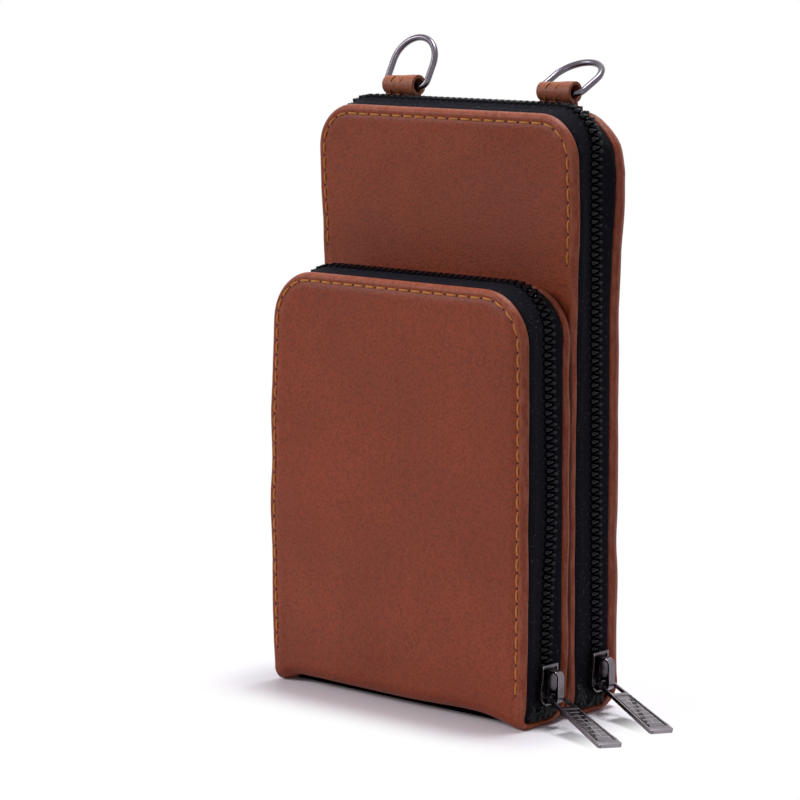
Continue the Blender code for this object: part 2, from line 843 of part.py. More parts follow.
def build_pouch(pouch):
    """Walls, tapes, teeth, spine, slider and tab of a pouch. Returns what the covers carry."""
    built = {}
    for wall in pouch.walls:
        pivot = add_pivot(f"{wall.name}_hinge", wall.hinge) if wall.moves else None
        add_leather(wall, pivot)
        add_board(wall, pivot)
        lining = add_lining(wall, pivot)
        tape = add_tape(pouch, wall, pivot)
        add_teeth(pouch, wall, pivot)
        built[wall.name] = (pivot, lining, tape)
    add_spine(pouch)
    centre = Vector((pouch.chain_x, pouch.chain_y(SLIDER_REST), SLIDER_REST))
    travel = add_pivot(f"{pouch.name}_slider_travel", centre, -pouch.chain_lean)
    add_slider(pouch, travel)
    add_cap(pouch, travel)
    add_tab(pouch, travel)
    return built


def main():
    """Build the bag."""
    for old in list(bpy.data.objects):
        bpy.data.objects.remove(old, do_unlink=True)
    short, tall = make_pouches()
    covers = build_pouch(short)
    covers.update(build_pouch(tall))
    front_pivot = covers["short_front"][0]
    back_pivot, back_lining, back_tape = covers["tall_back"]
    add_thread(short.front, outside_thread_y(short.front), FRONT_BEND + STITCH_FOOT, front_pivot)
    add_thread(short.back, inside_thread_y(short.back), BACK_BEND + STITCH_FOOT, None)
    add_thread(tall.front, outside_thread_y(tall.front), SHORT_HEIGHT + STITCH_FOOT, None)
    add_thread(tall.back, outside_thread_y(tall.back), BACK_BEND + STITCH_FOOT, back_pivot)
    for side, name, lean in ((-1, "left", LEFT_RING_LEAN), (1, "right", RIGHT_RING_LEAN)):
        add_loop(tall, side, f"{name}_loop", back_pivot)
        cut_loop_pocket(tall, side, (back_tape, back_lining), back_pivot)
        add_ring(tall, side, f"{name}_ring", lean, back_pivot)


main()
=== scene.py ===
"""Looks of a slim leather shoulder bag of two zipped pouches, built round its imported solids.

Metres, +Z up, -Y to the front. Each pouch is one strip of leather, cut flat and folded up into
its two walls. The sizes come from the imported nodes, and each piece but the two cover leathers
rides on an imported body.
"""

import json
import logging
import math
from contextlib import contextmanager
from dataclasses import dataclass
from enum import Enum
from typing import Callable, Iterator

import bmesh
import bpy
import numpy as np
from mathutils import Matrix, Vector


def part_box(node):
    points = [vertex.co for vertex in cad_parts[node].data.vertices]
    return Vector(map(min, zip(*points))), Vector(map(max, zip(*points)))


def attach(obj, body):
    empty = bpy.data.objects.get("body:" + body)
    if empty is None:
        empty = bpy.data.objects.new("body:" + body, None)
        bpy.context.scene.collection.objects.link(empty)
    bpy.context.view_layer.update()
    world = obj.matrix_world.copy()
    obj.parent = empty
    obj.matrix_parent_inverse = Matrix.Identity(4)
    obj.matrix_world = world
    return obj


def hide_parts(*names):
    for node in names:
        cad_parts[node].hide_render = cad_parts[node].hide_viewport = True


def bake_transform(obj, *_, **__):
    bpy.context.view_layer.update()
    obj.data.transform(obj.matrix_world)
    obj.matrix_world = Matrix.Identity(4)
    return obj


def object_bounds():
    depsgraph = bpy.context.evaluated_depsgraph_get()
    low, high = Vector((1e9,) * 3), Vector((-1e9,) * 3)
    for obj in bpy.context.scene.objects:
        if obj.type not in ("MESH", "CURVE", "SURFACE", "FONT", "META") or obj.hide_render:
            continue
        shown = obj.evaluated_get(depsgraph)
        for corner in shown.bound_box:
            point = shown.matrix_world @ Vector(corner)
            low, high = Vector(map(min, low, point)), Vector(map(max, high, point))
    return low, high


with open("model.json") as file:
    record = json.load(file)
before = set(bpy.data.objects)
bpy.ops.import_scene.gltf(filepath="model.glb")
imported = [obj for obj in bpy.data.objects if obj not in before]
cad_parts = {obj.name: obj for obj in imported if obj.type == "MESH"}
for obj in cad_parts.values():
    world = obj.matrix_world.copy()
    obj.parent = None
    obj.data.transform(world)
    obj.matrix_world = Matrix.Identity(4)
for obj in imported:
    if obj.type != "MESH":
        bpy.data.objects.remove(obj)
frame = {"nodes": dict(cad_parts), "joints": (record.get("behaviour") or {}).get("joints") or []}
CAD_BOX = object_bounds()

LOG = logging.getLogger("bag")
MM = 0.001
RIGHT = math.pi / 2


class Pick(Enum):
    """What a selection in edit mode is made of."""

    POINTS = ("VERT", "verts")
    EDGES = ("EDGE", "edges")
    FACES = ("FACE", "faces")


def colour(code: str) -> tuple[float, float, float, float]:
    """A linear colour from a six-digit sRGB code.

    Args:
        code: Red, green and blue as hexadecimal pairs.

    Returns:
        Linear red, green, blue and an alpha of one.
    """
    parts = [int(code[place:place + 2], 16) / 255 for place in (0, 2, 4)]
    linear = [((part + 0.055) / 1.055) ** 2.4 if part > 0.04 else part / 12.92 for part in parts]
    return (*linear, 1.0)


def ripple(points: np.ndarray, size: float, seed: int) -> np.ndarray:
    """Smooth waves over a surface, the same on each run.

    Args:
        points: Rows of coordinates.
        size: Rough length of a wave.
        seed: Chooses the waves.

    Returns:
        A value for each point, mostly from -1 to 1.
    """
    draw = np.random.default_rng(seed)
    total = np.zeros(len(points))
    for _ in range(7):
        way = draw.normal(size=points.shape[1])
        way *= 2 * math.pi / (size * draw.uniform(0.7, 1.7) * np.linalg.norm(way))
        total += np.sin(points @ way + draw.uniform(0, 2 * math.pi))
    return total / 3.2


def bump(values: np.ndarray, middle: float, width: float) -> np.ndarray:
    """A smooth hump of height one round a middle value."""
    return np.exp(-((values - middle) / width) ** 2)


def ease(values: np.ndarray, low: float, high: float) -> np.ndarray:
    """A smooth step from zero at low to one at high."""
    share = np.clip((values - low) / (high - low), 0, 1)
    return share * share * (3 - 2 * share)


def lead(run: np.ndarray, straight: float, radius: float) -> tuple[np.ndarray, ...]:
    """Follow a line that runs straight, turns a round corner and runs down.

    Args:
        run: Signed distances from the middle of the first stretch.
        straight: Half the length of that stretch.
        radius: Radius of the corner.

    Returns:
        Side as -1 or 1, straight part of the way, angle turned, and way down past the corner.
    """
    side = np.where(run < 0, -1.0, 1.0)
    reach = np.abs(run)
    turn = np.clip((reach - straight) / radius, 0, RIGHT)
    down = np.clip(reach - straight - radius * RIGHT, 0, None)
    return side, np.minimum(reach, straight), turn, down


def stand(first: Vector, second: Vector, third: Vector, spot: Vector) -> Matrix:
    """A place whose axes follow three directions and whose origin is a spot."""
    place = Matrix((first, second, third)).transposed().to_4x4()
    place.translation = spot
    return place


def packed_joint(name: str) -> dict:
    """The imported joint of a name."""
    return next(joint for joint in frame["joints"] if joint["name"] == name)


class Signal:
    """A value in a node tree. Python's operators on it add Math nodes."""

    def __init__(self, paint: "Paint", socket: bpy.types.NodeSocket) -> None:
        """Wrap a socket of a paint's node tree."""
        self.paint = paint
        self.socket = socket

    def math(self, operation: str, first: object, second: object = 0.0) -> "Signal":
        """Add a Math node and return its value."""
        settings = {"operation": operation}
        return self.paint.node("ShaderNodeMath", settings, {0: first, 1: second})

    def __add__(self, other: object) -> "Signal":
        """Sum."""
        return self.math("ADD", self, other)

    def __mul__(self, other: object) -> "Signal":
        """Product."""
        return self.math("MULTIPLY", self, other)

    def __sub__(self, other: object) -> "Signal":
        """Difference."""
        return self.math("SUBTRACT", self, other)

    def __rsub__(self, other: object) -> "Signal":
        """Difference from a plain number."""
        return self.math("SUBTRACT", other, self)

    def __truediv__(self, other: object) -> "Signal":
        """Quotient."""
        return self.math("DIVIDE", self, other)

    def __pow__(self, other: object) -> "Signal":
        """Power."""
        return self.math("POWER", self, other)

    def __abs__(self) -> "Signal":
        """Size without its sign."""
        return self.math("ABSOLUTE", self)

    def wave(self) -> "Signal":
        """Sine."""
        return self.math("SINE", self)

    def part(self) -> "Signal":
        """What is left over a whole number."""
        return self.math("FRACT", self)

    def step(self, low: float, high: float) -> "Signal":
        """A smooth step from zero at low to one at high; low may be the larger."""
        settings = {"interpolation_type": "SMOOTHSTEP"}
        sides = (low, high, 0.0, 1.0) if low < high else (high, low, 1.0, 0.0)
        sockets = {0: self, 1: sides[0], 2: sides[1], 3: sides[2], 4: sides[3]}
        return self.paint.node("ShaderNodeMapRange", settings, sockets)

    __radd__ = __add__
    __rmul__ = __mul__


class Paint:
    """The node tree of a material or world, grown one expression at a time."""

    def __init__(self, owner: bpy.types.Material | bpy.types.World) -> None:
        """Take up the tree of a material or world that uses nodes."""
        self.tree = owner.node_tree
        self.shader = self.tree.nodes.get("Principled BSDF")

    def finish(self, output: str, surface: "Signal") -> None:
        """Link a shader to the tree's own output."""
        self.tree.links.new(surface.socket, self.tree.nodes[output].inputs["Surface"])

    def node(self, kind: str, settings: dict, sockets: dict, output: int | str = 0) -> Signal:
        """Add a node.

        Args:
            kind: The node's type.
            settings: Its own properties, or stops for a colour ramp, set first.
            sockets: Values or signals for its inputs.
            output: Which of its outputs to use.

        Returns:
            That output.
        """
        made = self.tree.nodes.new(kind)
        for name, value in settings.items():
            if name == "stops":
                ramp = made.color_ramp.elements
                while len(ramp) < len(value):
                    ramp.new(1.0)
                for element, (position, stop) in zip(ramp, value):
                    element.position = position
                    element.color = stop
            else:
                setattr(made, name, value)
        for name, value in sockets.items():
            self.feed(made.inputs[name], value)
        return Signal(self, made.outputs[output])

    def feed(self, socket: bpy.types.NodeSocket, value: object) -> None:
        """Link a signal to a socket, or set the socket to a plain value."""
        if isinstance(value, Signal):
            self.tree.links.new(value.socket, socket)
        else:
            socket.default_value = value

    def set(self, **inputs: object) -> None:
        """Feed the shader; a name's underscores stand for spaces."""
        for name, value in inputs.items():
            self.feed(self.shader.inputs[name.replace("_", " ")], value)

    def place(self, stretch: tuple = (1, 1, 1), turn: tuple = (0, 0, 0)) -> Signal:
        """Object coordinates, turned and then stretched."""
        spot = self.node("ShaderNodeTexCoord", {}, {}, "Object")
        if any(turn):
            spot = self.node("ShaderNodeMapping", {}, {"Vector": spot, "Rotation": turn})
        return self.node("ShaderNodeMapping", {}, {"Vector": spot, "Scale": stretch})

    def axis(self, name: str) -> Signal:
        """One of the object coordinates, X, Y or Z."""
        return self.node("ShaderNodeSeparateXYZ", {}, {0: self.place()}, name)

    def noise(self, size: float, detail: float = 3.0, **place: tuple) -> Signal:
        """Cloudy noise from 0 to 1 with patches of about the given size."""
        sockets = {"Vector": self.place(**place), "Scale": 1 / size, "Detail": detail}
        return self.node("ShaderNodeTexNoise", {}, sockets)

    def cells(self, size: float, **place: tuple) -> Signal:
        """Distance to the nearest of many scattered points, from 0 to about 1."""
        sockets = {"Vector": self.place(**place), "Scale": 1 / size}
        return self.node("ShaderNodeTexVoronoi", {}, sockets, "Distance")

    def attribute(self, name: str) -> Signal:
        """A value that the mesh carries at its points."""
        return self.node("ShaderNodeAttribute", {"attribute_name": name}, {}, "Fac")

    def mix(self, share: object, first: object, second: object) -> Signal:
        """A colour between two others."""
        return self.node("ShaderNodeMix", {"data_type": "RGBA"}, {0: share, 6: first, 7: second}, 2)

    def relief(self, height: Signal, depth: float, below: Signal | None = None) -> Signal:
        """A normal raised by a height from 0 to 1 that stands for a depth in metres."""
        sockets = {"Height": height, "Distance": depth, "Strength": 1.0}
        if below is not None:
            sockets["Normal"] = below
        return self.node("ShaderNodeBump", {}, sockets)


def material(name: str) -> tuple[bpy.types.Material, Paint]:
    """A new material with only its shader, and its paint."""
    made = bpy.data.materials.new(name)
    made.use_nodes = True
    return made, Paint(made)


@dataclass(frozen=True)
class LeatherFinish:
    """Brown coated leather: soft grain, fine creases, worn edges lightened partly as painted
    highlight, needle holes, and painted shade in the edge groove and where walls touch.
    """

    deep: str = "732d18"
    warm: str = "8c3d20"
    rubbed_and_highlight: str = "a4654d"
    pore: str = "481a0e"
    # Colour of the needle holes, also used for the painted shade lines along the edge.
    hole: str = "1c0d08"
    grain: float = 0.75 * MM
    hole_radius: float = 0.42 * MM
    pitch: float = 4.75 * MM

    def material(self, name: str, seam: bool) -> bpy.types.Material:
        """Make the leather.

        Args:
            name: The material's name.
            seam: Whether the mesh carries a seam line and a rim to colour.

        Returns:
            The material.
        """
        made, paint = material(name)
        cloud = paint.noise(38 * MM, 2).step(0.3, 0.7)
        mottle = paint.noise(2.2 * MM, 4)
        tone = paint.mix(cloud * 0.4 + mottle * 0.6, colour(self.deep), colour(self.warm))
        valley = paint.cells(self.grain).step(0.3, 0.8)
        tone = paint.mix(valley * 0.4, tone, colour(self.pore))
        lines = self.creases(paint)
        rough = 0.42 + mottle * 0.14
        height = (paint.noise(0.4 * MM, 2) - valley) * 0.5 + lines
        if seam:
            rim = paint.attribute("rim")
            streak = paint.noise(1.4 * MM, 4, stretch=(1, 1, 0.3)).step(0.3, 0.75)
            # Lighter streaks along the rolled edge: partly real wear, partly painted highlight where
            # light catches the edge.
            tone = paint.mix(rim * (streak * 0.4), tone, colour(self.rubbed_and_highlight))
            # Painted shade: a dark line along the edge groove and along rims pressed against the next
            # wall, mixed with the needle holes.
            groove = abs(paint.attribute("depth") - 0.7).step(0.1, 0.0) * rim
            touch = paint.attribute("pressed") * paint.attribute("depth").step(0.26, 0.05) * rim
            hole = self.holes(paint)
            holes_and_shade = hole.math("MAXIMUM", hole, groove * 0.25 + touch * 0.75)
            tone = paint.mix(holes_and_shade, tone, colour(self.hole))
            height = height + streak * rim * 0.7 - holes_and_shade * 2.0
            rough = rough + holes_and_shade * 0.3
        paint.set(Base_Color=tone, Roughness=rough, Specular_IOR_Level=0.24)
        paint.set(Normal=paint.relief(height, 0.06 * MM))
        return made

    def creases(self, paint: Paint) -> Signal:
        """Fine steep lines, most of them low on the left of each wall."""
        tilt = {"turn": (0, math.radians(24), 0), "stretch": (1, 1, 0.12)}
        fine = abs(paint.noise(1.9 * MM, 3, **tilt) - 0.5).step(0.07, 0.0)
        low = paint.axis("Z").step(110 * MM, 25 * MM) * paint.axis("X").step(35 * MM, -35 * MM)
        patch = paint.noise(17 * MM, 1).step(0.36, 0.6)
        return (0.0 - fine) * (low * 0.9 + 0.15) * patch

    def holes(self, paint: Paint) -> Signal:
        """One where the needle went through, from the mesh's own seam line."""
        along = abs((paint.attribute("seam_run") / self.pitch).part() - 0.5) * self.pitch
        across = paint.attribute("seam_off")
        reach = (along * along + across * across) ** 0.5
        return reach.step(self.hole_radius, self.hole_radius * 0.55)


@dataclass(frozen=True)
class ClothFinish:
    """Woven cloth in a dark colour, with a fine diagonal rib and, where asked, painted glints."""

    dark: str = "020204"
    light: str = "181823"
    rib: float = 0.7 * MM
    dull: float = 0.75
    sheen: float = 0.06
    painted_glints: float = 0.0
    glint_colour: str = "c9c9d6"

    def material(self, name: str) -> bpy.types.Material:
        """Make the cloth."""
        made, paint = material(name)
        run = paint.axis("X") + paint.axis("Z") + paint.axis("Y") * 1.3
        rib = (run * (2 * math.pi / self.rib)).wave() * 0.5 + 0.5
        cross = paint.axis("Z") - paint.axis("X") - paint.axis("Y") * 0.8
        knot = (cross * (2 * math.pi / (self.rib * 0.8))).wave() * 0.5 + 0.5
        weave = rib * (0.6 + knot * 0.4)
        fuzz = paint.noise(0.4 * MM, 3)
        share = weave * 0.5 + fuzz * 0.35
        tone = paint.mix(share, colour(self.dark), colour(self.light))
        # Painted glints: small light spots standing in for highlights on the weave and on the
        # crumpled film.
        if self.painted_glints:
            spots = paint.noise(0.6 * MM, 3).step(0.64, 0.7) * self.painted_glints
            tone = paint.mix(spots, tone, colour(self.glint_colour))
        paint.set(Base_Color=tone, Roughness=self.dull + weave * 0.15)
        paint.set(Normal=paint.relief(weave * 0.7 + fuzz * 0.5, 0.08 * MM))
        paint.set(Specular_IOR_Level=self.sheen)
        return made


@dataclass(frozen=True)
class PlasticFinish:
    """Moulded black plastic with a soft gloss."""

    body: str = "07070e"
    scuff: str = "151520"

    def material(self, name: str) -> bpy.types.Material:
        """Make the plastic."""
        made, paint = material(name)
        scuff = paint.noise(0.9 * MM, 4).step(0.5, 0.8)
        tone = paint.mix(scuff * 0.5, colour(self.body), colour(self.scuff))
        paint.set(Base_Color=tone, Roughness=0.2 + scuff * 0.2, Specular_IOR_Level=0.09)
        paint.set(Normal=paint.relief(paint.noise(0.3 * MM, 2), 0.02 * MM))
        return made


@dataclass(frozen=True)
class MetalFinish:
    """Dark nickel plate, cast and tumbled, worn bright on its edges, with painted shade in its
    hollows.
    """

    dark: str = "49434a"
    bright: str = "928b91"
    painted_shade: str = "131115"
    pits: float = 0.22
    rough: float = 0.24

    def material(self, name: str) -> bpy.types.Material:
        """Make the metal."""
        made, paint = material(name)
        cloud = paint.noise(2.2 * MM, 4)
        pits = paint.noise(0.35 * MM, 3).step(0.55, 0.75)
        share = cloud * 0.3 + paint.attribute("wear") * 0.8
        tone = paint.mix(share, colour(self.dark), colour(self.bright))
        # Painted shade: the colour darkens where the mesh notes a hollow, standing in for shadow in
        # recesses.
        tone = paint.mix(paint.attribute("hollow") * 0.85, tone, colour(self.painted_shade))
        paint.set(Base_Color=tone, Metallic=1.0)
        paint.set(Roughness=self.rough + (cloud * 0.14 + pits * 0.2) * self.pits)
        paint.set(Normal=paint.relief((cloud * 0.3 - pits) * self.pits, 0.05 * MM))
        return made


@dataclass(frozen=True)
class ThreadFinish:
    """Twisted ochre sewing thread."""

    shade: str = "8a4a12"
    light: str = "cf8a34"

    def material(self, name: str) -> bpy.types.Material:
        """Make the thread; its twist follows the mesh's own map where it has one."""
        made, paint = material(name)
        spot = paint.node("ShaderNodeTexCoord", {}, {}, "UV")
        across = paint.node("ShaderNodeSeparateXYZ", {}, {0: spot}, "X")
        along = paint.node("ShaderNodeSeparateXYZ", {}, {0: spot}, "Y")
        twist = ((across * 3 + along * 9) * (2 * math.pi)).wave() * 0.5 + 0.5
        fuzz = paint.noise(0.4 * MM, 2)
        tone = paint.mix(twist * 0.6 + fuzz * 0.4, colour(self.shade), colour(self.light))
        paint.set(Base_Color=tone, Roughness=0.55 + fuzz * 0.2)
        paint.set(Normal=paint.relief(twist, 0.07 * MM))
        return made


@dataclass(frozen=True)
class BoardFinish:
    """Stiffener board with short fibres, near black so that where it shows through gaps it reads as
    painted shade.
    """

    # Near black: painted shade for the slivers of board that show through gaps.
    dark: str = "1c1917"
    light: str = "2b2724"

    def material(self, name: str) -> bpy.types.Material:
        """Make the board."""
        made, paint = material(name)
        fibre = paint.noise(1.2 * MM, 4, stretch=(0.25, 1, 1))
        tone = paint.mix(fibre, colour(self.dark), colour(self.light))
        paint.set(Base_Color=tone, Roughness=0.8 + fibre * 0.15)
        paint.set(Normal=paint.relief(fibre, 0.05 * MM))
        return made


class Palette:
    """The finishes, each made once."""

    def __init__(self) -> None:
        """Make every material of the bag."""
        self.leather = LeatherFinish().material("leather_sewn", True)
        strap = LeatherFinish("82432e", "a5674c", pore="5c2a1e")
        self.strap_leather = strap.material("leather_strap", False)
        # The tape and its crumpled ends carry painted glints.
        self.tape = ClothFinish(painted_glints=0.1).material("tape_twill")
        film = ClothFinish("010102", "08080c", dull=0.26, sheen=0.16, painted_glints=0.25)
        self.tape_end = film.material("tape_end")
        self.lining = ClothFinish("09090d", "1a1a22", rib=0.9 * MM).material("lining_cloth")
        self.teeth = PlasticFinish().material("tooth_plastic")
        self.metal = MetalFinish().material("nickel_cast")
        self.wire = MetalFinish("59535c", "857e87", pits=0.1, rough=0.26).material("nickel_wire")
        self.thread = ThreadFinish().material("thread_ochre")
        self.board = BoardFinish().material("board_fibre")

    def dress_solids(self) -> None:
        """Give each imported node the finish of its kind."""
        kinds = {
            "leather": self.strap_leather, "spine": self.strap_leather, "loop": self.strap_leather,
            "board": self.board, "lining": self.lining, "thread": self.thread,
            "tape": self.tape, "teeth": self.teeth, "ring": self.wire,
        }
        for name, node in frame["nodes"].items():
            kind = name.rsplit("_", 1)[-1]
            for slot in node.material_slots:
                slot.material = kinds.get(kind, self.metal)


class Piece:
    """A mesh under work, shaped with Blender's own tools as by hand."""

    def __init__(self, name: str, primitive: Callable[..., set], **settings: object) -> None:
        """Add a primitive and name it."""
        bpy.ops.object.select_all(action="DESELECT")
        primitive(**settings)
        self.object = bpy.context.active_object
        self.object.name = name
        self.object.data.name = name

    def activate(self) -> None:
        """Make this the only selected object."""
        bpy.ops.object.select_all(action="DESELECT")
        self.object.select_set(True)
        bpy.context.view_layer.objects.active = self.object

    @contextmanager
    def editing(self) -> Iterator[None]:
        """Edit mode, with everything selected at the start."""
        self.activate()
        bpy.ops.object.mode_set(mode="EDIT")
        bpy.ops.mesh.select_mode(type="FACE")
        bpy.ops.mesh.select_all(action="SELECT")
        yield
        bpy.ops.object.mode_set(mode="OBJECT")

    def pick(self, kind: Pick, test: Callable[[object], bool]) -> None:
        """Select what passes a test, and nothing else.

        Args:
            kind: Points, edges or faces.
            test: Says of one of them whether to select it.
        """
        mode, group = kind.value
        bpy.ops.mesh.select_mode(type=mode)
        bpy.ops.mesh.select_all(action="DESELECT")
        shape = bmesh.from_edit_mesh(self.object.data)
        for element in getattr(shape, group):
            if test(element):
                element.select_set(True)
        bmesh.update_edit_mesh(self.object.data)

    def cut(self, spot: tuple, normal: tuple) -> None:
        """Cut all faces along a plane, in edit mode."""
        bpy.ops.mesh.select_all(action="SELECT")
        bpy.ops.mesh.bisect(plane_co=spot, plane_no=normal, threshold=MM / 1000)

    def modify(self, kind: str, **settings: object) -> None:
        """Add a modifier and apply it."""
        modifier = self.object.modifiers.new(kind.lower(), kind)
        for name, value in settings.items():
            setattr(modifier, name, value)
        self.activate()
        bpy.ops.object.modifier_apply(modifier=modifier.name)

    def round_off(self, levels: int = 1) -> None:
        """Smooth the mesh with applied subdivision."""
        self.modify("SUBSURF", levels=levels, render_levels=levels)

    def points(self) -> np.ndarray:
        """The places of all points, one row each."""
        count = len(self.object.data.vertices)
        places = np.zeros(count * 3)
        self.object.data.vertices.foreach_get("co", places)
        return places.reshape(-1, 3)

    def move(self, places: np.ndarray) -> None:
        """Put all points at new places."""
        self.object.data.vertices.foreach_set("co", places.astype(np.float32).ravel())
        self.object.data.update()

    def transform(self, place: Matrix) -> None:
        """Take the mesh from its own space to its place in the bag."""
        self.object.data.transform(place)
        self.object.data.update()

    def note(self, name: str, values: np.ndarray) -> None:
        """Store a value at each point, for the finish to read."""
        mesh = self.object.data
        attribute = mesh.attributes.get(name) or mesh.attributes.new(name, "FLOAT", "POINT")
        attribute.data.foreach_set("value", values.astype(np.float32))

    def smooth(self, angle: float = 40) -> None:
        """Shade smooth, with sharp edges past an angle in degrees."""
        self.activate()
        bpy.ops.object.shade_smooth_by_angle(angle=math.radians(angle))

    def outward(self) -> None:
        """Turn all faces outward."""
        with self.editing():
            bpy.ops.mesh.normals_make_consistent(inside=False)

    def copy(self, name: str) -> "Piece":
        """A copy with a mesh of its own."""
        self.activate()
        bpy.ops.object.duplicate()
        twin = object.__new__(Piece)
        twin.object = bpy.context.active_object
        twin.object.name = name
        twin.object.data.name = name
        return twin

    def join(self, *others: "Piece") -> None:
        """Take other pieces into this one."""
        self.activate()
        for other in others:
            other.object.select_set(True)
        bpy.ops.object.join()

    def dress(self, *materials: bpy.types.Material) -> None:
        """Give the piece its materials in place of any it has."""
        self.object.data.materials.clear()
        for material in materials:
            self.object.data.materials.append(material)

    def fit(self, body: str, slot: str, *nodes: str) -> None:
        """Let the piece ride on a body, with a slot's finish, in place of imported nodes."""
        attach(self.object, body)
        self.stand_for(slot, *nodes)

    def stand_for(self, slot: str, *nodes: str) -> None:
        """Name the slot of the piece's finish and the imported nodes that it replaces."""
        if nodes:
            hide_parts(*nodes)
        faces = len(self.object.data.polygons)
        LOG.info("%s: %d faces, finish %s", self.object.name, faces, slot)


@dataclass(frozen=True)
class Wall:
    """A wall of a pouch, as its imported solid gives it."""

    name: str
    body: str
    facing: int
    face: float
    thickness: float
    bend: float
    top: float
    half: float
    corner: float
    spread: tuple

    @classmethod
    def read(cls, name: str, body: str, facing: int, corner: float, spread: tuple) -> "Wall":
        """Take a wall's sizes from its packed leather.

        Args:
            name: The wall's name, which its nodes start with.
            body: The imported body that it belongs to.
            facing: -1 if its outer face looks to the front, 1 if to the back.
            corner: Radius of its top corners.
            spread: Rows of a height and how far the left and right side bow out there, in mm.

        Returns:
            The wall.
        """
        low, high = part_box(f"{name}_leather")
        thick = high.y - low.y
        face = low.y if facing < 0 else high.y
        half = (high.x - low.x) / 2
        bend = low.z + thick / 2
        return cls(name, body, facing, face, thick, bend, high.z, half, corner, spread)

    def widen(self, x: np.ndarray, z: np.ndarray) -> np.ndarray:
        """How far the wall's bowed sides move points to their side."""
        height, left, right = np.array(self.spread).T * MM
        bow = np.where(x < 0, np.interp(z, height, left), np.interp(z, height, right))
        return x * bow / self.half

    @property
    def inner(self) -> float:
        """Y of the inner face of the wall's rolled edge."""
        return self.face - self.facing * self.thickness


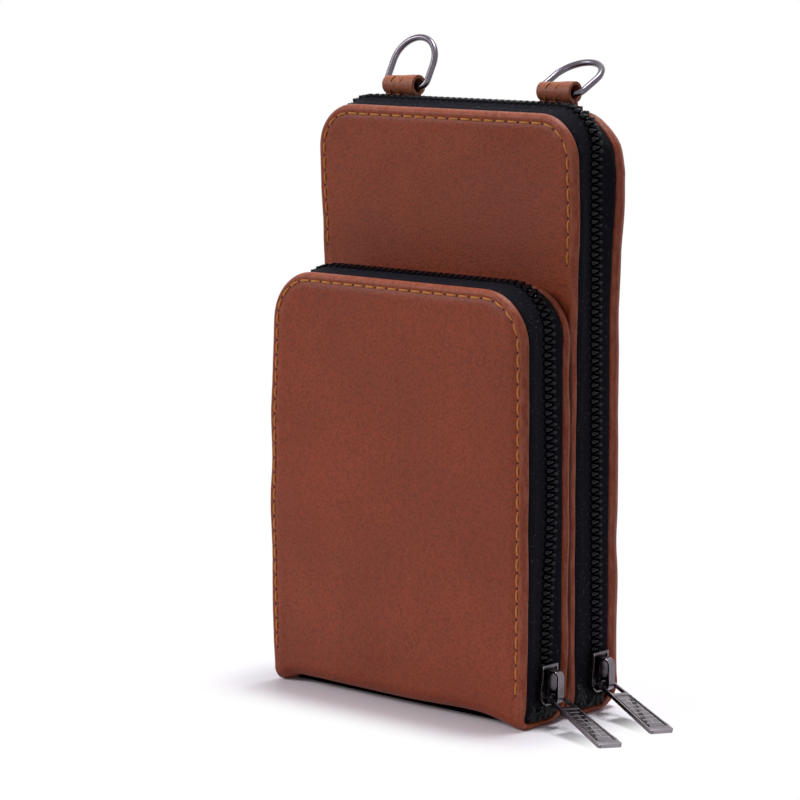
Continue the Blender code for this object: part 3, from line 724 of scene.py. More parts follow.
@dataclass
class Strip:
    """The leather of a pouch, one strip from the top of its front wall to that of its back."""

    front: Wall
    back: Wall
    seam_inset: float
    puff: float
    pressed: tuple
    lip: float = 0.0
    skin: float = 1.1 * MM
    under: float = 2.0 * MM
    flap: float = 1.75 * MM
    roll: float = 1.5 * MM
    groove: float = 0.45 * MM
    pinch: float = 0.25 * MM
    welt: float = 0.1 * MM
    pillow: float = 0.15 * MM
    droop: float = 0.35 * MM
    wave: float = 0.16 * MM
    wrinkle: float = 0.07 * MM
    sway: float = 0.22 * MM
    pitch: float = 4.75 * MM
    lattice: float = 2.5 * MM
    corner_steps: int = 8

    def __post_init__(self) -> None:
        """Work out the lengths of the strip's stretches."""
        front, back = self.front, self.back
        self.half = front.half
        self.corner = front.corner
        bottom = back.face - back.bend - front.face - front.bend
        stretches = (
            front.top - front.bend, front.bend * RIGHT, bottom, back.bend * RIGHT,
            back.top - back.bend,
        )
        self.marks = np.concatenate([[0], np.cumsum(stretches)])
        self.length = self.marks[-1]

    def rings(self) -> list[float]:
        """Insets of the lines that follow the outline."""
        seam = self.seam_inset
        beside = self.groove
        lines = [self.flap, seam - beside, seam, seam + beside, seam + 1 * MM, seam + 2 * MM]
        while lines[-1] + self.lattice < self.corner - 1 * MM:
            lines.append(lines[-1] + self.lattice)
        return lines

    def rows(self) -> list[float]:
        """Distances along the strip of the cross lines."""
        ends = [self.corner, *self.marks[1:-1], self.length - self.corner]
        finest = (self.lattice, 1.2 * MM, self.lattice, 2 * MM, self.lattice)
        lines = []
        for low, high, step in zip(ends, ends[1:], finest):
            count = max(1, round((high - low) / step))
            lines += [low + (high - low) * place / count for place in range(count)]
        return lines + [ends[-1]]

    def cut_flat(self, name: str) -> Piece:
        """Cut the strip flat, outer side up, and give it its rolled edge and skin.

        Args:
            name: The piece's name.

        Returns:
            The flat piece: x across, -y along and z out of the outer face.
        """
        piece = Piece(name, bpy.ops.mesh.primitive_plane_add, size=1)
        with piece.editing():
            bpy.ops.transform.resize(value=(2 * self.half, self.length, 1))
            bpy.ops.transform.translate(value=(0, -self.length / 2, 0))
            bpy.ops.mesh.bevel(
                affect="VERTICES", offset=self.corner, segments=self.corner_steps, profile=0.5
            )
            piece.pick(Pick.FACES, lambda face: True)
            last = 0.0
            for ring in self.rings():
                bpy.ops.mesh.inset(thickness=ring - last, depth=0, use_even_offset=True)
                last = ring
            straight = self.half - self.corner
            count = round(2 * straight / self.lattice)
            for place in range(count + 1):
                piece.cut((straight * (2 * place / count - 1), 0, 0), (1, 0, 0))
            for row in self.rows():
                piece.cut((0, -row, 0), (0, 1, 0))
            bpy.ops.mesh.select_all(action="SELECT")
            down = {"value": (0, 0, -self.front.thickness)}
            bpy.ops.mesh.extrude_region_move(TRANSFORM_OT_translate=down)
            bpy.ops.mesh.select_all(action="SELECT")
            bpy.ops.mesh.normals_make_consistent(inside=False)
            piece.pick(Pick.EDGES, self.is_outline)
            bpy.ops.mesh.bevel(
                affect="EDGES", offset=self.roll, segments=3, profile=0.5, clamp_overlap=False
            )
            piece.pick(Pick.FACES, self.is_behind)
            bpy.ops.mesh.delete(type="FACE")
        piece.modify("SOLIDIFY", thickness=self.skin, offset=-1, material_offset=1)
        piece.round_off()
        return piece

    def is_outline(self, edge: bmesh.types.BMEdge) -> bool:
        """Whether an edge of the flat slab is a long edge of its rim."""
        level = abs(edge.verts[0].co.z - edge.verts[1].co.z) < self.roll / 10
        return level and len(edge.link_faces) == 2 and edge.calc_face_angle() > 1

    def is_behind(self, face: bmesh.types.BMFace) -> bool:
        """Whether a face of the flat slab is on its open inner side."""
        if face.normal.z > -0.9:
            return False
        centre = face.calc_center_median()
        inset, _ = self.survey(np.array([centre.x]), np.array([-centre.y]))
        return inset[0] > (self.roll + self.flap) / 2

    def survey(self, x: np.ndarray, along: np.ndarray) -> tuple[np.ndarray, np.ndarray]:
        """Where flat points lie against the outline.

        Args:
            x: Places across.
            along: Places along.

        Returns:
            Distance in from the outline, and signed distance along the seam line from the
            middle of the nearer end.
        """
        deep = np.minimum(along, self.length - along)
        straight = self.half - self.corner
        over = np.abs(x) - straight
        short = self.corner - deep
        in_corner = (over > 0) & (short > 0)
        inset = np.minimum(self.half - np.abs(x), deep)
        inset = np.where(in_corner, self.corner - np.hypot(over, short), inset)
        radius = self.corner - self.seam_inset
        side = straight + radius * RIGHT + deep - self.corner
        turn = straight + radius * np.arctan2(np.maximum(over, 0), np.maximum(short, 1e-9))
        run = np.where(self.half - np.abs(x) < deep, side, np.abs(x))
        run = np.where(in_corner, turn, run)
        return inset, run * np.where(x < 0, -1, 1)

    def seam_length(self, wall: Wall, foot: float) -> float:
        """Length of a wall's seam from the middle of its top down to a height."""
        bow = (self.corner - self.seam_inset) * RIGHT
        return self.half - self.corner + bow + wall.top - self.corner - foot

    def fold(self, x: np.ndarray, along: np.ndarray, deep: np.ndarray) -> np.ndarray:
        """Fold flat points up into the walls.

        Args:
            x: Places across.
            along: Places along the outer face.
            deep: Distances inward of the outer face.

        Returns:
            Their places in the bag, one row each.
        """
        front, back = self.front, self.back
        marks = self.marks
        near = front.bend - deep
        far = back.bend - deep
        low_turn = np.clip(along - marks[1], 0, marks[2] - marks[1]) / front.bend
        high_turn = np.clip(along - marks[3], 0, marks[4] - marks[3]) / back.bend
        y = front.face + front.bend - near * np.cos(low_turn)
        z = front.bend - near * np.sin(low_turn) + np.maximum(marks[1] - along, 0)
        y_under = front.face + front.bend + along - marks[2]
        y_back = back.face - back.bend + far * np.sin(high_turn)
        z_back = back.bend - far * np.cos(high_turn) + np.maximum(along - marks[4], 0)
        y = np.where(along > marks[2], y_under, y)
        z = np.where(along > marks[2], deep, z)
        y = np.where(along > marks[3], y_back, y)
        z = np.where(along > marks[3], z_back, z)
        of_back = along > (marks[2] + marks[3]) / 2
        x = x + np.where(of_back, back.widen(x, z), front.widen(x, z))
        return np.stack([x, y, z], axis=1)

    def stations(
        self, inset: np.ndarray, run: np.ndarray, along: np.ndarray, feet: dict[str, float]
    ) -> tuple[np.ndarray, ...]:
        """How flat points stand to their wall's seam and to the pouch beside them.

        Args:
            inset: Distances in from the outline.
            run: Signed distances along the seam line.
            along: Places along.
            feet: Height of each wall's seam foot, by the wall's name; no seam without one.

        Returns:
            Distance off the seam, and how much each point is sewn, puffed and pressed.
        """
        of_back = along > (self.marks[2] + self.marks[3]) / 2
        sewn = np.zeros(len(along))
        puffed = np.zeros(len(along))
        touching = np.zeros(len(along))
        off = np.full(len(along), 20 * MM)
        walls = zip((self.front, self.back), (~of_back, of_back), self.pressed)
        for wall, here, reach in walls:
            height = wall.top - np.minimum(along, self.length - along)
            touch = ease(height, 4 * MM, 14 * MM) * ease(height, reach, reach - 10 * MM)
            touching = np.where(here, touch * (reach > 0), touching)
            if wall.name in feet:
                foot = feet[wall.name]
                past = np.abs(run) - self.seam_length(wall, foot)
                edge = np.abs(inset - self.seam_inset) + np.maximum(past, 0)
                off = np.where(here, edge, off)
                sewn = np.where(here, ease(-past, -2 * MM, 2 * MM), sewn)
                puffed = np.where(here, ease(height, foot, foot + 8 * MM), puffed)
        return off, sewn, puffed, touching

    def lift(
        self, flat: np.ndarray, inset: np.ndarray, run: np.ndarray,
        sewn: np.ndarray, puffed: np.ndarray,
    ) -> np.ndarray:
        """How far the outer face stands out.

        Args:
            flat: Places across and along, one row each.
            inset: Distances in from the outline.
            run: Signed distances along the seam line.
            sewn: How much each point is drawn in by the seam.
            puffed: How much it shares in the puff.

        Returns:
            The pinched seam, the rolls on both its sides, puff, rounded edge and waves.
        """
        seam = self.seam_inset
        share = np.abs((run / self.pitch) % 1 - 0.5) * self.pitch
        near_hole = bump(share, 0, 0.9 * MM)
        inside = ease(inset, 2 * MM, 12 * MM)
        lift = -self.pinch * bump(inset, seam, 0.55 * MM) * (0.5 + 0.5 * near_hole) * sewn
        lift += self.welt * bump(inset, 0.55 * seam, 0.7 * MM) * (1 - 0.45 * near_hole * sewn)
        lift += self.puff * ease(inset, seam + 0.2 * MM, seam + 3 * MM) * puffed
        lift += self.pillow * bump(inset, seam + 1.6 * MM, 1.1 * MM) * (1 - 0.7 * near_hole * sewn)
        lift -= self.droop * (1 - ease(inset, 0, 1.3 * MM))
        lift += self.wave * ripple(flat, 46 * MM, 3) * inside
        lift += self.wrinkle * ripple(flat, 13 * MM, 5) * (1 - 0.6 * inside)
        return lift

    def thinning(self, along: np.ndarray) -> np.ndarray:
        """Thickness of the rolled edge along the strip, as a share of the front wall's."""
        marks, thick = self.marks, self.front.thickness
        places = (marks[1] - 2 * MM, marks[1] + 1 * MM, marks[4] - 1 * MM, marks[4] + 2 * MM)
        under = self.under / thick
        return np.interp(along, places, (1, under, under, self.back.thickness / thick))

    def arched(self, x: np.ndarray, along: np.ndarray) -> np.ndarray:
        """How much the foot of the front wall is lifted between its two ends, up to one."""
        marks, half = self.marks, self.half
        level = ease(x, 1 * MM - half, 10 * MM - half)
        level *= 1 - ease(x, half - 19 * MM, half + 1 * MM)
        level *= 1 + 0.07 * ripple(x[:, None], 34 * MM, 7)
        level *= ease(along, marks[1] - 18 * MM, marks[1] + 1 * MM)
        return level * (1 - ease(along, marks[2], marks[2] + 9 * MM))

    def shape(self, piece: Piece, feet: dict[str, float]) -> None:
        """Puff, pinch and wave the flat leather, fold it up and note what its finish reads.

        Args:
            piece: The flat leather.
            feet: Height of each wall's seam foot, by the wall's name; no seam without one.
        """
        places = piece.points()
        x, along, deep = places[:, 0], -places[:, 1], -places[:, 2]
        flat = np.stack([x, along], axis=1)
        inset, run = self.survey(x, along)
        inset = np.clip(inset, 0, None)
        off, sewn, puffed, touching = self.stations(inset, run, along, feet)
        thick = self.front.thickness
        fade = 1 - ease(deep, 0.4 * thick, 0.95 * thick)
        lift = self.lift(flat, inset, run, sewn, puffed)
        near_edge = 1 - ease(inset, 1 * MM, 10 * MM)
        sway = self.sway * ripple(flat, 26 * MM, 11) * near_edge
        out = np.where(np.abs(x) > 1 * MM, np.sign(x), 0)
        up = (np.minimum(along, self.length - along) < self.corner) * near_edge
        along_now = along + np.where(along < self.length / 2, 1, -1) * 0.12 * MM * up
        deep_now = deep * self.thinning(along) - lift * fade
        folded = self.fold(x + out * (sway - 0.1 * MM), along_now, deep_now)
        folded[:, 2] += self.lip * self.arched(x, along)
        folded[:, 2] = np.maximum(folded[:, 2], 0)
        piece.move(folded)
        piece.note("rim", 1 - ease(inset, 0.6 * MM, 3.4 * MM))
        piece.note("depth", deep / thick)
        piece.note("pressed", touching)
        piece.note("seam_run", run)
        piece.note("seam_off", off)


@dataclass(frozen=True)
class Chain:
    """The line round a pouch that its zip's teeth follow."""

    wall: Wall
    inset: float
    spot_y: float
    spot_z: float
    lean: float
    rest: float
    rise: float
    bulge: float
    pitch: float = 2.5 * MM
    foot: float = 9.0 * MM

    @classmethod
    def read(cls, pouch: str, joints: str, wall: Wall, rise: float, bulge: float) -> "Chain":
        """Take a chain's line from its slider and from the joints that move it.

        Args:
            pouch: The pouch's name, which the slider's node starts with.
            joints: What the names of the slider's joints start with.
            wall: The wall whose outline the chain follows.
            rise: How far it stands up along the top.
            bulge: How far it bows out and back halfway up the sides.

        Returns:
            The chain.
        """
        low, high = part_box(f"{pouch}_slider_body")
        middle = (low + high) / 2
        axis = packed_joint(f"{joints}_slider_run")["axis"]
        spot = packed_joint(f"{joints}_tab_swing")["pos_m"]
        lean = axis[1] / axis[2]
        return cls(wall, wall.half - middle.x, spot[1], spot[2], lean, middle.z, rise, bulge)

    def y(self, z: np.ndarray | float) -> np.ndarray | float:
        """Y of the chain's middle at a height."""
        return self.spot_y + (z - self.spot_z) * self.lean + self.bow(z)

    def bow(self, z: np.ndarray | float) -> np.ndarray | float:
        """How far the chain bows at a height, most at half the pouch's own."""
        return self.bulge * bump(z, 70 * MM, 29 * MM)

    def reach(self, z: float) -> float:
        """Distance along the outline from the middle of the top down to a height."""
        wall = self.wall
        return wall.half - wall.corner + wall.corner * RIGHT + wall.top - wall.corner - z

    def outline(self, run: np.ndarray) -> tuple[np.ndarray, ...]:
        """Points on the wall's outline.

        Args:
            run: Signed distances along it from the middle of the top, right positive.

        Returns:
            X and z of the points, and x and z of the outward directions.
        """
        wall = self.wall
        side, across, turn, down = lead(run, wall.half - wall.corner, wall.corner)
        out_x, out_z = np.sin(turn) * side, np.cos(turn)
        x = side * across + wall.corner * out_x
        z = wall.top - wall.corner + wall.corner * out_z - down
        return x, z, out_x, out_z

    def at(self, run: np.ndarray, inset: np.ndarray, share: np.ndarray) -> tuple[np.ndarray, ...]:
        """X and z of points inward of the outline, with a share of the chain's rise and bow."""
        x, z, out_x, out_z = self.outline(run)
        move = inset - share * (self.rise * np.maximum(out_z, 0) + self.bow(z) * np.abs(out_x))
        return x - out_x * move, z - out_z * move


def scatter(base: Piece, name: str, places: list[Matrix]) -> Piece:
    """One mesh of many copies of a modelled piece.

    Args:
        base: The piece, which is used up.
        name: Name of the new piece.
        places: Where each copy goes, as a transform of the base's own space.

    Returns:
        The new piece.
    """
    mesh = base.object.data
    points = np.hstack([base.points(), np.ones((len(mesh.vertices), 1))])
    moved = np.concatenate([points @ np.array(place.transposed())[:, :3] for place in places])
    faces = [tuple(face.vertices) for face in mesh.polygons]
    count = len(mesh.vertices)
    every = [
        tuple(spot + copy * count for spot in face) for copy in range(len(places)) for face in faces
    ]
    made = bpy.data.meshes.new(name)
    made.from_pydata(moved.tolist(), [], every)
    if mesh.uv_layers:
        spots = np.zeros(len(mesh.loops) * 2)
        mesh.uv_layers[0].data.foreach_get("uv", spots)
        layer = made.uv_layers.new(name="thread")
        layer.data.foreach_set("uv", np.tile(spots, len(places)))
    base.object.data = made
    bpy.data.meshes.remove(mesh)
    base.object.name = name
    base.smooth(50)
    return base


@dataclass
class Zip:
    """A pouch's zip: two halves of tape with crumpled ends and two rows of moulded teeth."""

    name: str
    chain: Chain
    front: Wall
    back: Wall
    tape: float = 0.5 * MM
    gap: float = 0.12 * MM
    clear: float = 0.3 * MM
    flange: float = 8.0 * MM
    hold: float = 2.0 * MM
    clamp: float = 2.65 * MM
    floor: float = 2.1 * MM
    crown: float = 0.34 * MM
    crinkle: float = 0.13 * MM
    crumple: float = 0.55 * MM
    tuck: float = 3.8 * MM
    sections: tuple = (
        (2.2, 0.98, 0.95), (1.2, 0.95, 1.24), (0.8, 0.74, 1.22), (0, 0.55, 1.12),
        (-0.62, 0.43, 0.95), (-0.98, 0.26, 0.7),
    )

    def half(self, wall: Wall) -> Piece:
        """Half of the tape: its flange behind a wall's edge and its side out to the teeth.

        Args:
            wall: The wall that it is sewn to.

        Returns:
            The cloth, folded round the pouch.
        """
        chain = self.chain
        deep = abs(chain.y(0) - wall.inner) - self.gap - self.hold
        piece = Piece(
            f"{wall.name}_zip_tape", bpy.ops.mesh.primitive_grid_add,
            x_subdivisions=300, y_subdivisions=18, size=1,
        )
        flat = piece.points() + 0.5
        low = wall.bend - 3 * MM if wall.body != "middle" else self.floor
        run = (flat[:, 0] * 2 - 1) * chain.reach(max(low, self.floor))
        across = flat[:, 1] * (self.flange + deep)
        side = np.clip(across - self.flange, 0, None)
        root = wall.inner - wall.facing * self.gap
        inset = chain.inset + np.clip(self.flange - across, 0, None)
        share = side / deep
        way = np.stack([run, across], axis=1)
        arch = np.sin(np.clip(share * 1.8, 0, 1) * math.pi)
        _, z, _, _ = chain.outline(run)
        foot = self.crumple * ripple(way, 4.5 * MM, 23) * (1 - ease(z, 5 * MM, 20 * MM))
        puff = arch * (self.crown + self.crinkle * ripple(way, 9 * MM, 21) + foot)
        x, z = chain.at(run, inset - puff, share)
        x += wall.widen(x, z) * (1 - share)
        edge = chain.y(z) + wall.facing * self.hold
        y = np.where(side > 0, root + (edge - root) * share, root)
        hidden = self.tuck * (1 - ease(inset - chain.inset, 3 * MM, 0))
        z = np.maximum(z, self.valley(y) + hidden)
        piece.move(np.stack([x, y, z], axis=1))
        piece.outward()
        piece.modify("SOLIDIFY", thickness=self.tape, offset=0)
        piece.smooth(60)
        return piece

    def valley(self, y: np.ndarray) -> np.ndarray:
        """Height of the leather's inner surface under a tape, at each y."""
        height = np.full(len(y), self.floor)
        for other in (self.front, self.back):
            reach = np.abs(y - other.face)
            inner = other.bend - self.floor
            across = np.clip(other.bend - reach, 0, inner)
            curve = other.bend - np.sqrt(np.maximum(inner ** 2 - across ** 2, 0)) + self.clear
            height = np.where(reach < other.bend, np.maximum(height, curve), height)
        return height

    def ends(self) -> Piece:
        """The crumpled ends of the tape, tucked in at both feet of the pouch."""
        chain = self.chain
        piece = Piece(
            f"{self.name}_zip_ends", bpy.ops.mesh.primitive_grid_add,
            x_subdivisions=44, y_subdivisions=36, size=1,
        )
        flat = piece.points() + 0.5
        front = self.front.inner + 0.5 * MM
        back = self.back.inner - 0.5 * MM
        y = front + (back - front) * flat[:, 0]
        base = self.valley(y)
        top = (6.0 + 6.0 * ease(np.abs(y - chain.y(0)), 4.7 * MM, 6.5 * MM)) * MM
        z = base + (top - base) * flat[:, 1]
        way = np.stack([y * 0.8, z], axis=1)
        crease = 1 - 2 * np.abs(ripple(way, 3.6 * MM, 31)) ** 0.7 + 0.5 * ripple(way, 2 * MM, 33)
        side = 0.5 - np.abs(flat[:, 0] - 0.5)
        fade = ease(side, 0, 0.14) * (1 - ease(flat[:, 1], 0.55, 1))
        x = chain.wall.half - chain.inset - 0.35 * MM
        x += (1.1 + 0.55 * np.clip(crease, -1.4, 1.2)) * MM * fade
        piece.move(np.stack([x, y, z], axis=1))
        twin = piece.copy("left_end")
        twin.move(np.stack([-x, y, z], axis=1))
        with twin.editing():
            bpy.ops.mesh.flip_normals()
        piece.join(twin)
        piece.modify("SOLIDIFY", thickness=self.tape, offset=0)
        piece.round_off()
        piece.smooth(60)
        return piece

    def tooth(self) -> Piece:
        """One moulded tooth along +z, from its clamp on the tape to its tapered head."""
        piece = Piece(
            "tooth", bpy.ops.mesh.primitive_cylinder_add,
            vertices=8, radius=MM, depth=0.1 * MM, location=(0, 0, 0),
        )
        with piece.editing():
            bpy.ops.transform.rotate(
                value=math.pi / 8, orient_axis="Z", center_override=(0, 0, 0)
            )
            bpy.ops.transform.resize(value=(0.55, 1.08, 1))
            piece.pick(Pick.FACES, lambda face: face.normal.z > 0.9)
            last = (0.05, 0.55, 1.08)
            for across, wide, thick in self.sections:
                along = self.clamp / MM - across
                step = {"value": (0, 0, (along - last[0]) * MM)}
                bpy.ops.mesh.extrude_region_move(TRANSFORM_OT_translate=step)
                bpy.ops.transform.resize(value=(wide / last[1], thick / last[2], 1))
                last = (along, wide, thick)
        return piece

    def row(self, wall: Wall) -> Piece:
        """A row of teeth on a wall's half of the tape."""
        chain = self.chain
        start = -chain.reach(chain.foot)
        stop = chain.reach(chain.rest - 0.4 * MM)
        offset = 0.25 if wall.facing < 0 else 0.75
        runs = np.arange(start + offset * chain.pitch, stop, chain.pitch)
        _, _, out_x, out_z = chain.outline(runs)
        x, z = chain.at(runs, chain.inset, 1)
        across = Vector((0, -wall.facing, 0))
        places = []
        for spot_x, spot_z, way_x, way_z in zip(x, z, out_x, out_z):
            out = Vector((way_x, 0, way_z))
            spot = Vector((spot_x, chain.y(spot_z), spot_z)) - across * self.clamp
            places.append(stand(out.cross(across), out, across, spot))
        return scatter(self.tooth(), f"{wall.name}_zip_teeth", places)

    def build(self, palette: Palette) -> None:
        """Build the zip and let each half ride on its wall's body."""
        for wall in (self.front, self.back):
            tape = self.half(wall)
            tape.dress(palette.tape)
            tape.fit(wall.body, "tape", f"{wall.name}_tape")
            teeth = self.row(wall)
            teeth.dress(palette.teeth)
            teeth.fit(wall.body, "teeth", f"{wall.name}_teeth")
        ends = self.ends()
        ends.dress(palette.tape_end)
        ends.fit("middle", "tape")


@dataclass
class Seam:
    """A line of sewn stitches on a wall's outer face."""

    strip: Strip
    wall: Wall
    foot: float
    thread: float = 0.33 * MM
    length: float = 4.0 * MM
    arch: float = 0.55 * MM
    sink: float = 0.42 * MM

    @staticmethod
    def stitch(length: float, thread: float, arch: float) -> Piece:
        """One stitch along x, arched in z, with its ends drawn into the needle holes."""
        piece = Piece(
            "stitch", bpy.ops.mesh.primitive_cylinder_add,
            vertices=6, radius=thread, depth=length, end_fill_type="NGON", calc_uvs=True,
        )
        with piece.editing():
            for place in (-0.44, -0.3, -0.1, 0.1, 0.3, 0.44):
                piece.cut((0, 0, place * length), (0, 0, 1))
        places = piece.points()
        share = np.abs(places[:, 2]) / (length / 2)
        thin = 1 - 0.35 * share ** 4
        height = arch * (1 - share ** 2.4)
        flat = np.stack([places[:, 2], places[:, 1] * thin, -places[:, 0] * thin + height], axis=1)
        piece.move(flat)
        return piece

    def build(self, palette: Palette, name: str, *nodes: str) -> None:
        """Sew the seam, and let it stand for packed threads."""
        strip, wall = self.strip, self.wall
        count = math.floor(strip.seam_length(wall, self.foot) / strip.pitch)
        out = Vector((0, wall.facing, 0))
        deep = np.array([self.sink])
        places = []
        for number in range(-count, count + 1):
            x, along, way_x, way_along = self.flat_spot(np.array([number * strip.pitch]))
            before, spot, after = (
                Vector(strip.fold(x + way_x * ahead, along + way_along * ahead, deep)[0])
                for ahead in (-MM, 0, MM)
            )
            way = (after - before).normalized()
            places.append(stand(way, out.cross(way), out, spot))
        piece = scatter(self.stitch(self.length, self.thread, self.arch), name, places)
        piece.dress(palette.thread)
        piece.fit(wall.body, "thread", *nodes)

    def flat_spot(self, run: np.ndarray) -> tuple[np.ndarray, ...]:
        """Where a seam's run lies on the flat strip, and its direction there."""
        strip = self.strip
        radius = strip.corner - strip.seam_inset
        side, across, turn, down = lead(run, strip.half - strip.corner, radius)
        x = side * (across + radius * np.sin(turn))
        deep = strip.corner - radius * np.cos(turn) + down
        way_x, way_deep = np.cos(turn), side * np.sin(turn)
        if self.wall.facing > 0:
            return x, strip.length - deep, way_x, -way_deep
        return x, deep, way_x, way_deep


@dataclass
class Slider:
    """A zip slider with its cap, and the pull tab that hangs in the cap's eye."""

    name: str
    chain: Chain
    body: str
    tab_body: str
    length: float = 12.5 * MM
    shoulder: float = 9.0 * MM
    channel: float = 1.5 * MM
    slot: float = 0.65 * MM
    plate: float = 1.0 * MM
    lip: float = 0.75 * MM
    cap_height: float = 4.3 * MM
    cap_width: float = 2.8 * MM
    cap_length: float = 10.4 * MM
    cap_top: float = 4.8 * MM
    eye_radius: float = 1.3 * MM
    eye_height: float = 1.8 * MM
    eye_drop: float = 3.6 * MM
    tab_length: float = 33.0 * MM
    tab_bar: float = 1.0 * MM
    tab_near: float = 5.8 * MM
    tab_far: float = 8.6 * MM
    tab_thick: float = 1.2 * MM
    tab_corner: float = 0.9 * MM
    window_end: float = 7.5 * MM
    opening: float = 2.3 * MM
    panel_start: float = 8.7 * MM
    panel_margin: float = 2.2 * MM
    askew: float = math.radians(18)
    rib_count: int = 8
    rib_first: float = 11.2
    rib_step: float = 2.35
    rib_margin: float = 1.9 * MM
    cap_sink: float = 0.28 * MM
    cap_round: float = 2.3 * MM
    cheek: tuple = (1.65, 0.8, 2.75)
    cheek_out: float = 1.95 * MM
    cheek_sink: float = 0.42 * MM
    cheek_rise: float = 1.35 * MM
    cheek_lean: float = 0.28
    outline: tuple = (
        (-0.5, 1.7), (-0.46, 2.9), (-0.4, 3.75), (-0.32, 4.3), (-0.22, 4.5),
        (-0.08, 4.42), (0.06, 4.1), (0.2, 3.72), (0.34, 3.55), (0.5, 3.6),
    )

    @property
    def face(self) -> float:
        """Distance from the chain's middle to the outer face of the plate."""
        return self.channel + self.plate

    @property
    def seat(self) -> Matrix:
        """Where the slider's own space lies in the bag, x out and z up the chain."""
        chain = self.chain
        x = chain.wall.half - chain.inset
        spot = Vector((x, chain.y(chain.rest), chain.rest))
        return Matrix.Translation(spot) @ Matrix.Rotation(-math.atan(chain.lean), 4, "X")

    def shell(self) -> Piece:
        """The outer plate with its two lips and raised rim, x out."""
        half = self.shoulder / 2
        edge = half - self.lip
        piece = Piece("shell", bpy.ops.mesh.primitive_cube_add, size=1)
        with piece.editing():
            bpy.ops.transform.resize(value=(self.plate, self.shoulder, self.length))
            bpy.ops.transform.translate(value=(self.channel + self.plate / 2, 0, 0))
            for share in (0.42, 0.32, 0.2, 0.1, 0.0, -0.1, -0.2, -0.29, -0.37, -0.44):
                piece.cut((0, 0, share * self.length), (0, 0, 1))
            for side in (-1, 1):
                piece.cut((0, side * edge, 0), (0, 1, 0))
            piece.pick(
                Pick.FACES,
                lambda face: face.normal.x < -0.9 and abs(face.calc_center_median().y) > edge,
            )
            step = {"value": (self.slot - self.channel, 0, 0)}
            bpy.ops.mesh.extrude_region_move(TRANSFORM_OT_translate=step)
            piece.pick(Pick.FACES, lambda face: face.normal.x > 0.9)
            bpy.ops.mesh.inset(thickness=0.55 * MM, depth=0)
            bpy.ops.mesh.inset(thickness=0.12 * MM, depth=-0.4 * MM)
        places = piece.points()
        top = self.length / 2 - places[:, 2]
        places[:, 2] -= 0.35 * MM * ((top > 0.4 * MM) & (top < 0.8 * MM))
        high, wide = np.array(self.outline).T
        places[:, 1] *= np.interp(places[:, 2] / self.length, high, wide * MM) / half
        piece.move(places)
        return piece

    def build_body(self) -> Piece:
        """The slider's body: two plates, and the wedge that parts the teeth."""
        outer = self.shell()
        inner = outer.copy("inner_shell")
        places = inner.points()
        places[:, 0] *= -1
        inner.move(places)
        wedge = Piece(
            "wedge", bpy.ops.mesh.primitive_cylinder_add,
            vertices=16, radius=1.1 * MM, depth=2 * self.channel + 0.2 * MM, rotation=(0, RIGHT, 0),
            location=(0, 0, -0.25 * self.length),
        )
        bpy.ops.object.transform_apply()
        with wedge.editing():
            bpy.ops.transform.resize(value=(1, 1, 1.7))
        outer.join(inner, wedge)
        outer.outward()
        outer.object.name = f"{self.name}_slider"
        outer.modify("BEVEL", width=0.14 * MM, segments=2, limit_method="ANGLE")
        out, across, _ = np.abs(outer.points()).T
        # Painted shade in the plate's sunk panel, darkened where shadow falls.
        low = (out < self.face - 0.2 * MM) & (out > self.channel)
        wear(outer, low & (self.shoulder / 2 * 0.85 - across > 0.5 * MM))
        outer.transform(self.seat)
        return outer

    def build_cap(self) -> Piece:
        """The cap: a rounded bridge with raised oval cheeks and an eye at its foot."""
        piece = Piece(f"{self.name}_cap", bpy.ops.mesh.primitive_cube_add, size=1)
        low = self.face - self.cap_sink
        high = self.face + self.cap_height
        with piece.editing():
            bpy.ops.transform.resize(value=(high - low, self.cap_width, self.cap_length))
            middle = ((low + high) / 2, 0, self.cap_top - self.cap_length / 2)
            bpy.ops.transform.translate(value=middle)
            piece.pick(
                Pick.EDGES,
                lambda edge: all(abs(point.co.x - high) < MM / 10 for point in edge.verts)
                and abs(edge.verts[0].co.z - edge.verts[1].co.z) < MM / 10,
            )
            bpy.ops.mesh.bevel(affect="EDGES", offset=self.cap_round, segments=7, profile=0.5)
            piece.pick(Pick.FACES, lambda face: abs(face.normal.y) > 0.9)
            bpy.ops.mesh.inset(thickness=0.42 * MM, depth=0, use_individual=True)
            bpy.ops.mesh.inset(thickness=0.1 * MM, depth=-0.4 * MM, use_individual=True)
        piece.outward()
        hole = Piece(
            "eye", bpy.ops.mesh.primitive_cylinder_add,
            vertices=32, radius=self.eye_radius, depth=2 * self.cap_width, rotation=(RIGHT, 0, 0),
            location=(self.face + self.eye_height, 0, -self.eye_drop),
        )
        piece.modify("BOOLEAN", operation="DIFFERENCE", solver="EXACT", object=hole.object)
        bpy.data.objects.remove(hole.object)
        piece.modify("BEVEL", width=0.16 * MM, segments=2, limit_method="ANGLE")
        # Painted shade at the cap's foot against the plate and in its sunk sides.
        places = np.abs(piece.points() - np.array([self.face, 0, 0]))
        wear(piece, (places[:, 0] < 0.4 * MM) | (places[:, 1] < self.cap_width / 2 - 0.25 * MM))
        piece.join(self.cheeks())
        piece.transform(self.seat)
        return piece

    def cheeks(self) -> Piece:
        """Two raised ovals, one on each side of the cap, above the eye."""
        piece = Piece(
            "cheeks", bpy.ops.mesh.primitive_uv_sphere_add, segments=28, ring_count=14, radius=1
        )
        places = piece.points()
        places = np.sign(places) * np.abs(places) ** np.array([0.85, 1.0, 0.8])
        places = places * np.array(self.cheek) * MM
        across = self.cap_width / 2 - self.cheek_sink
        side = places + np.array([self.face + self.cheek_out, across, self.cheek_rise])
        side[:, 1] -= places[:, 0] * self.cheek_lean
        piece.move(side)
        twin = piece.copy("cheek")
        twin.move(side * np.array([1, -1, 1]))
        piece.join(twin)
        piece.outward()
        wear(piece, np.zeros(len(piece.points()), bool))
        return piece

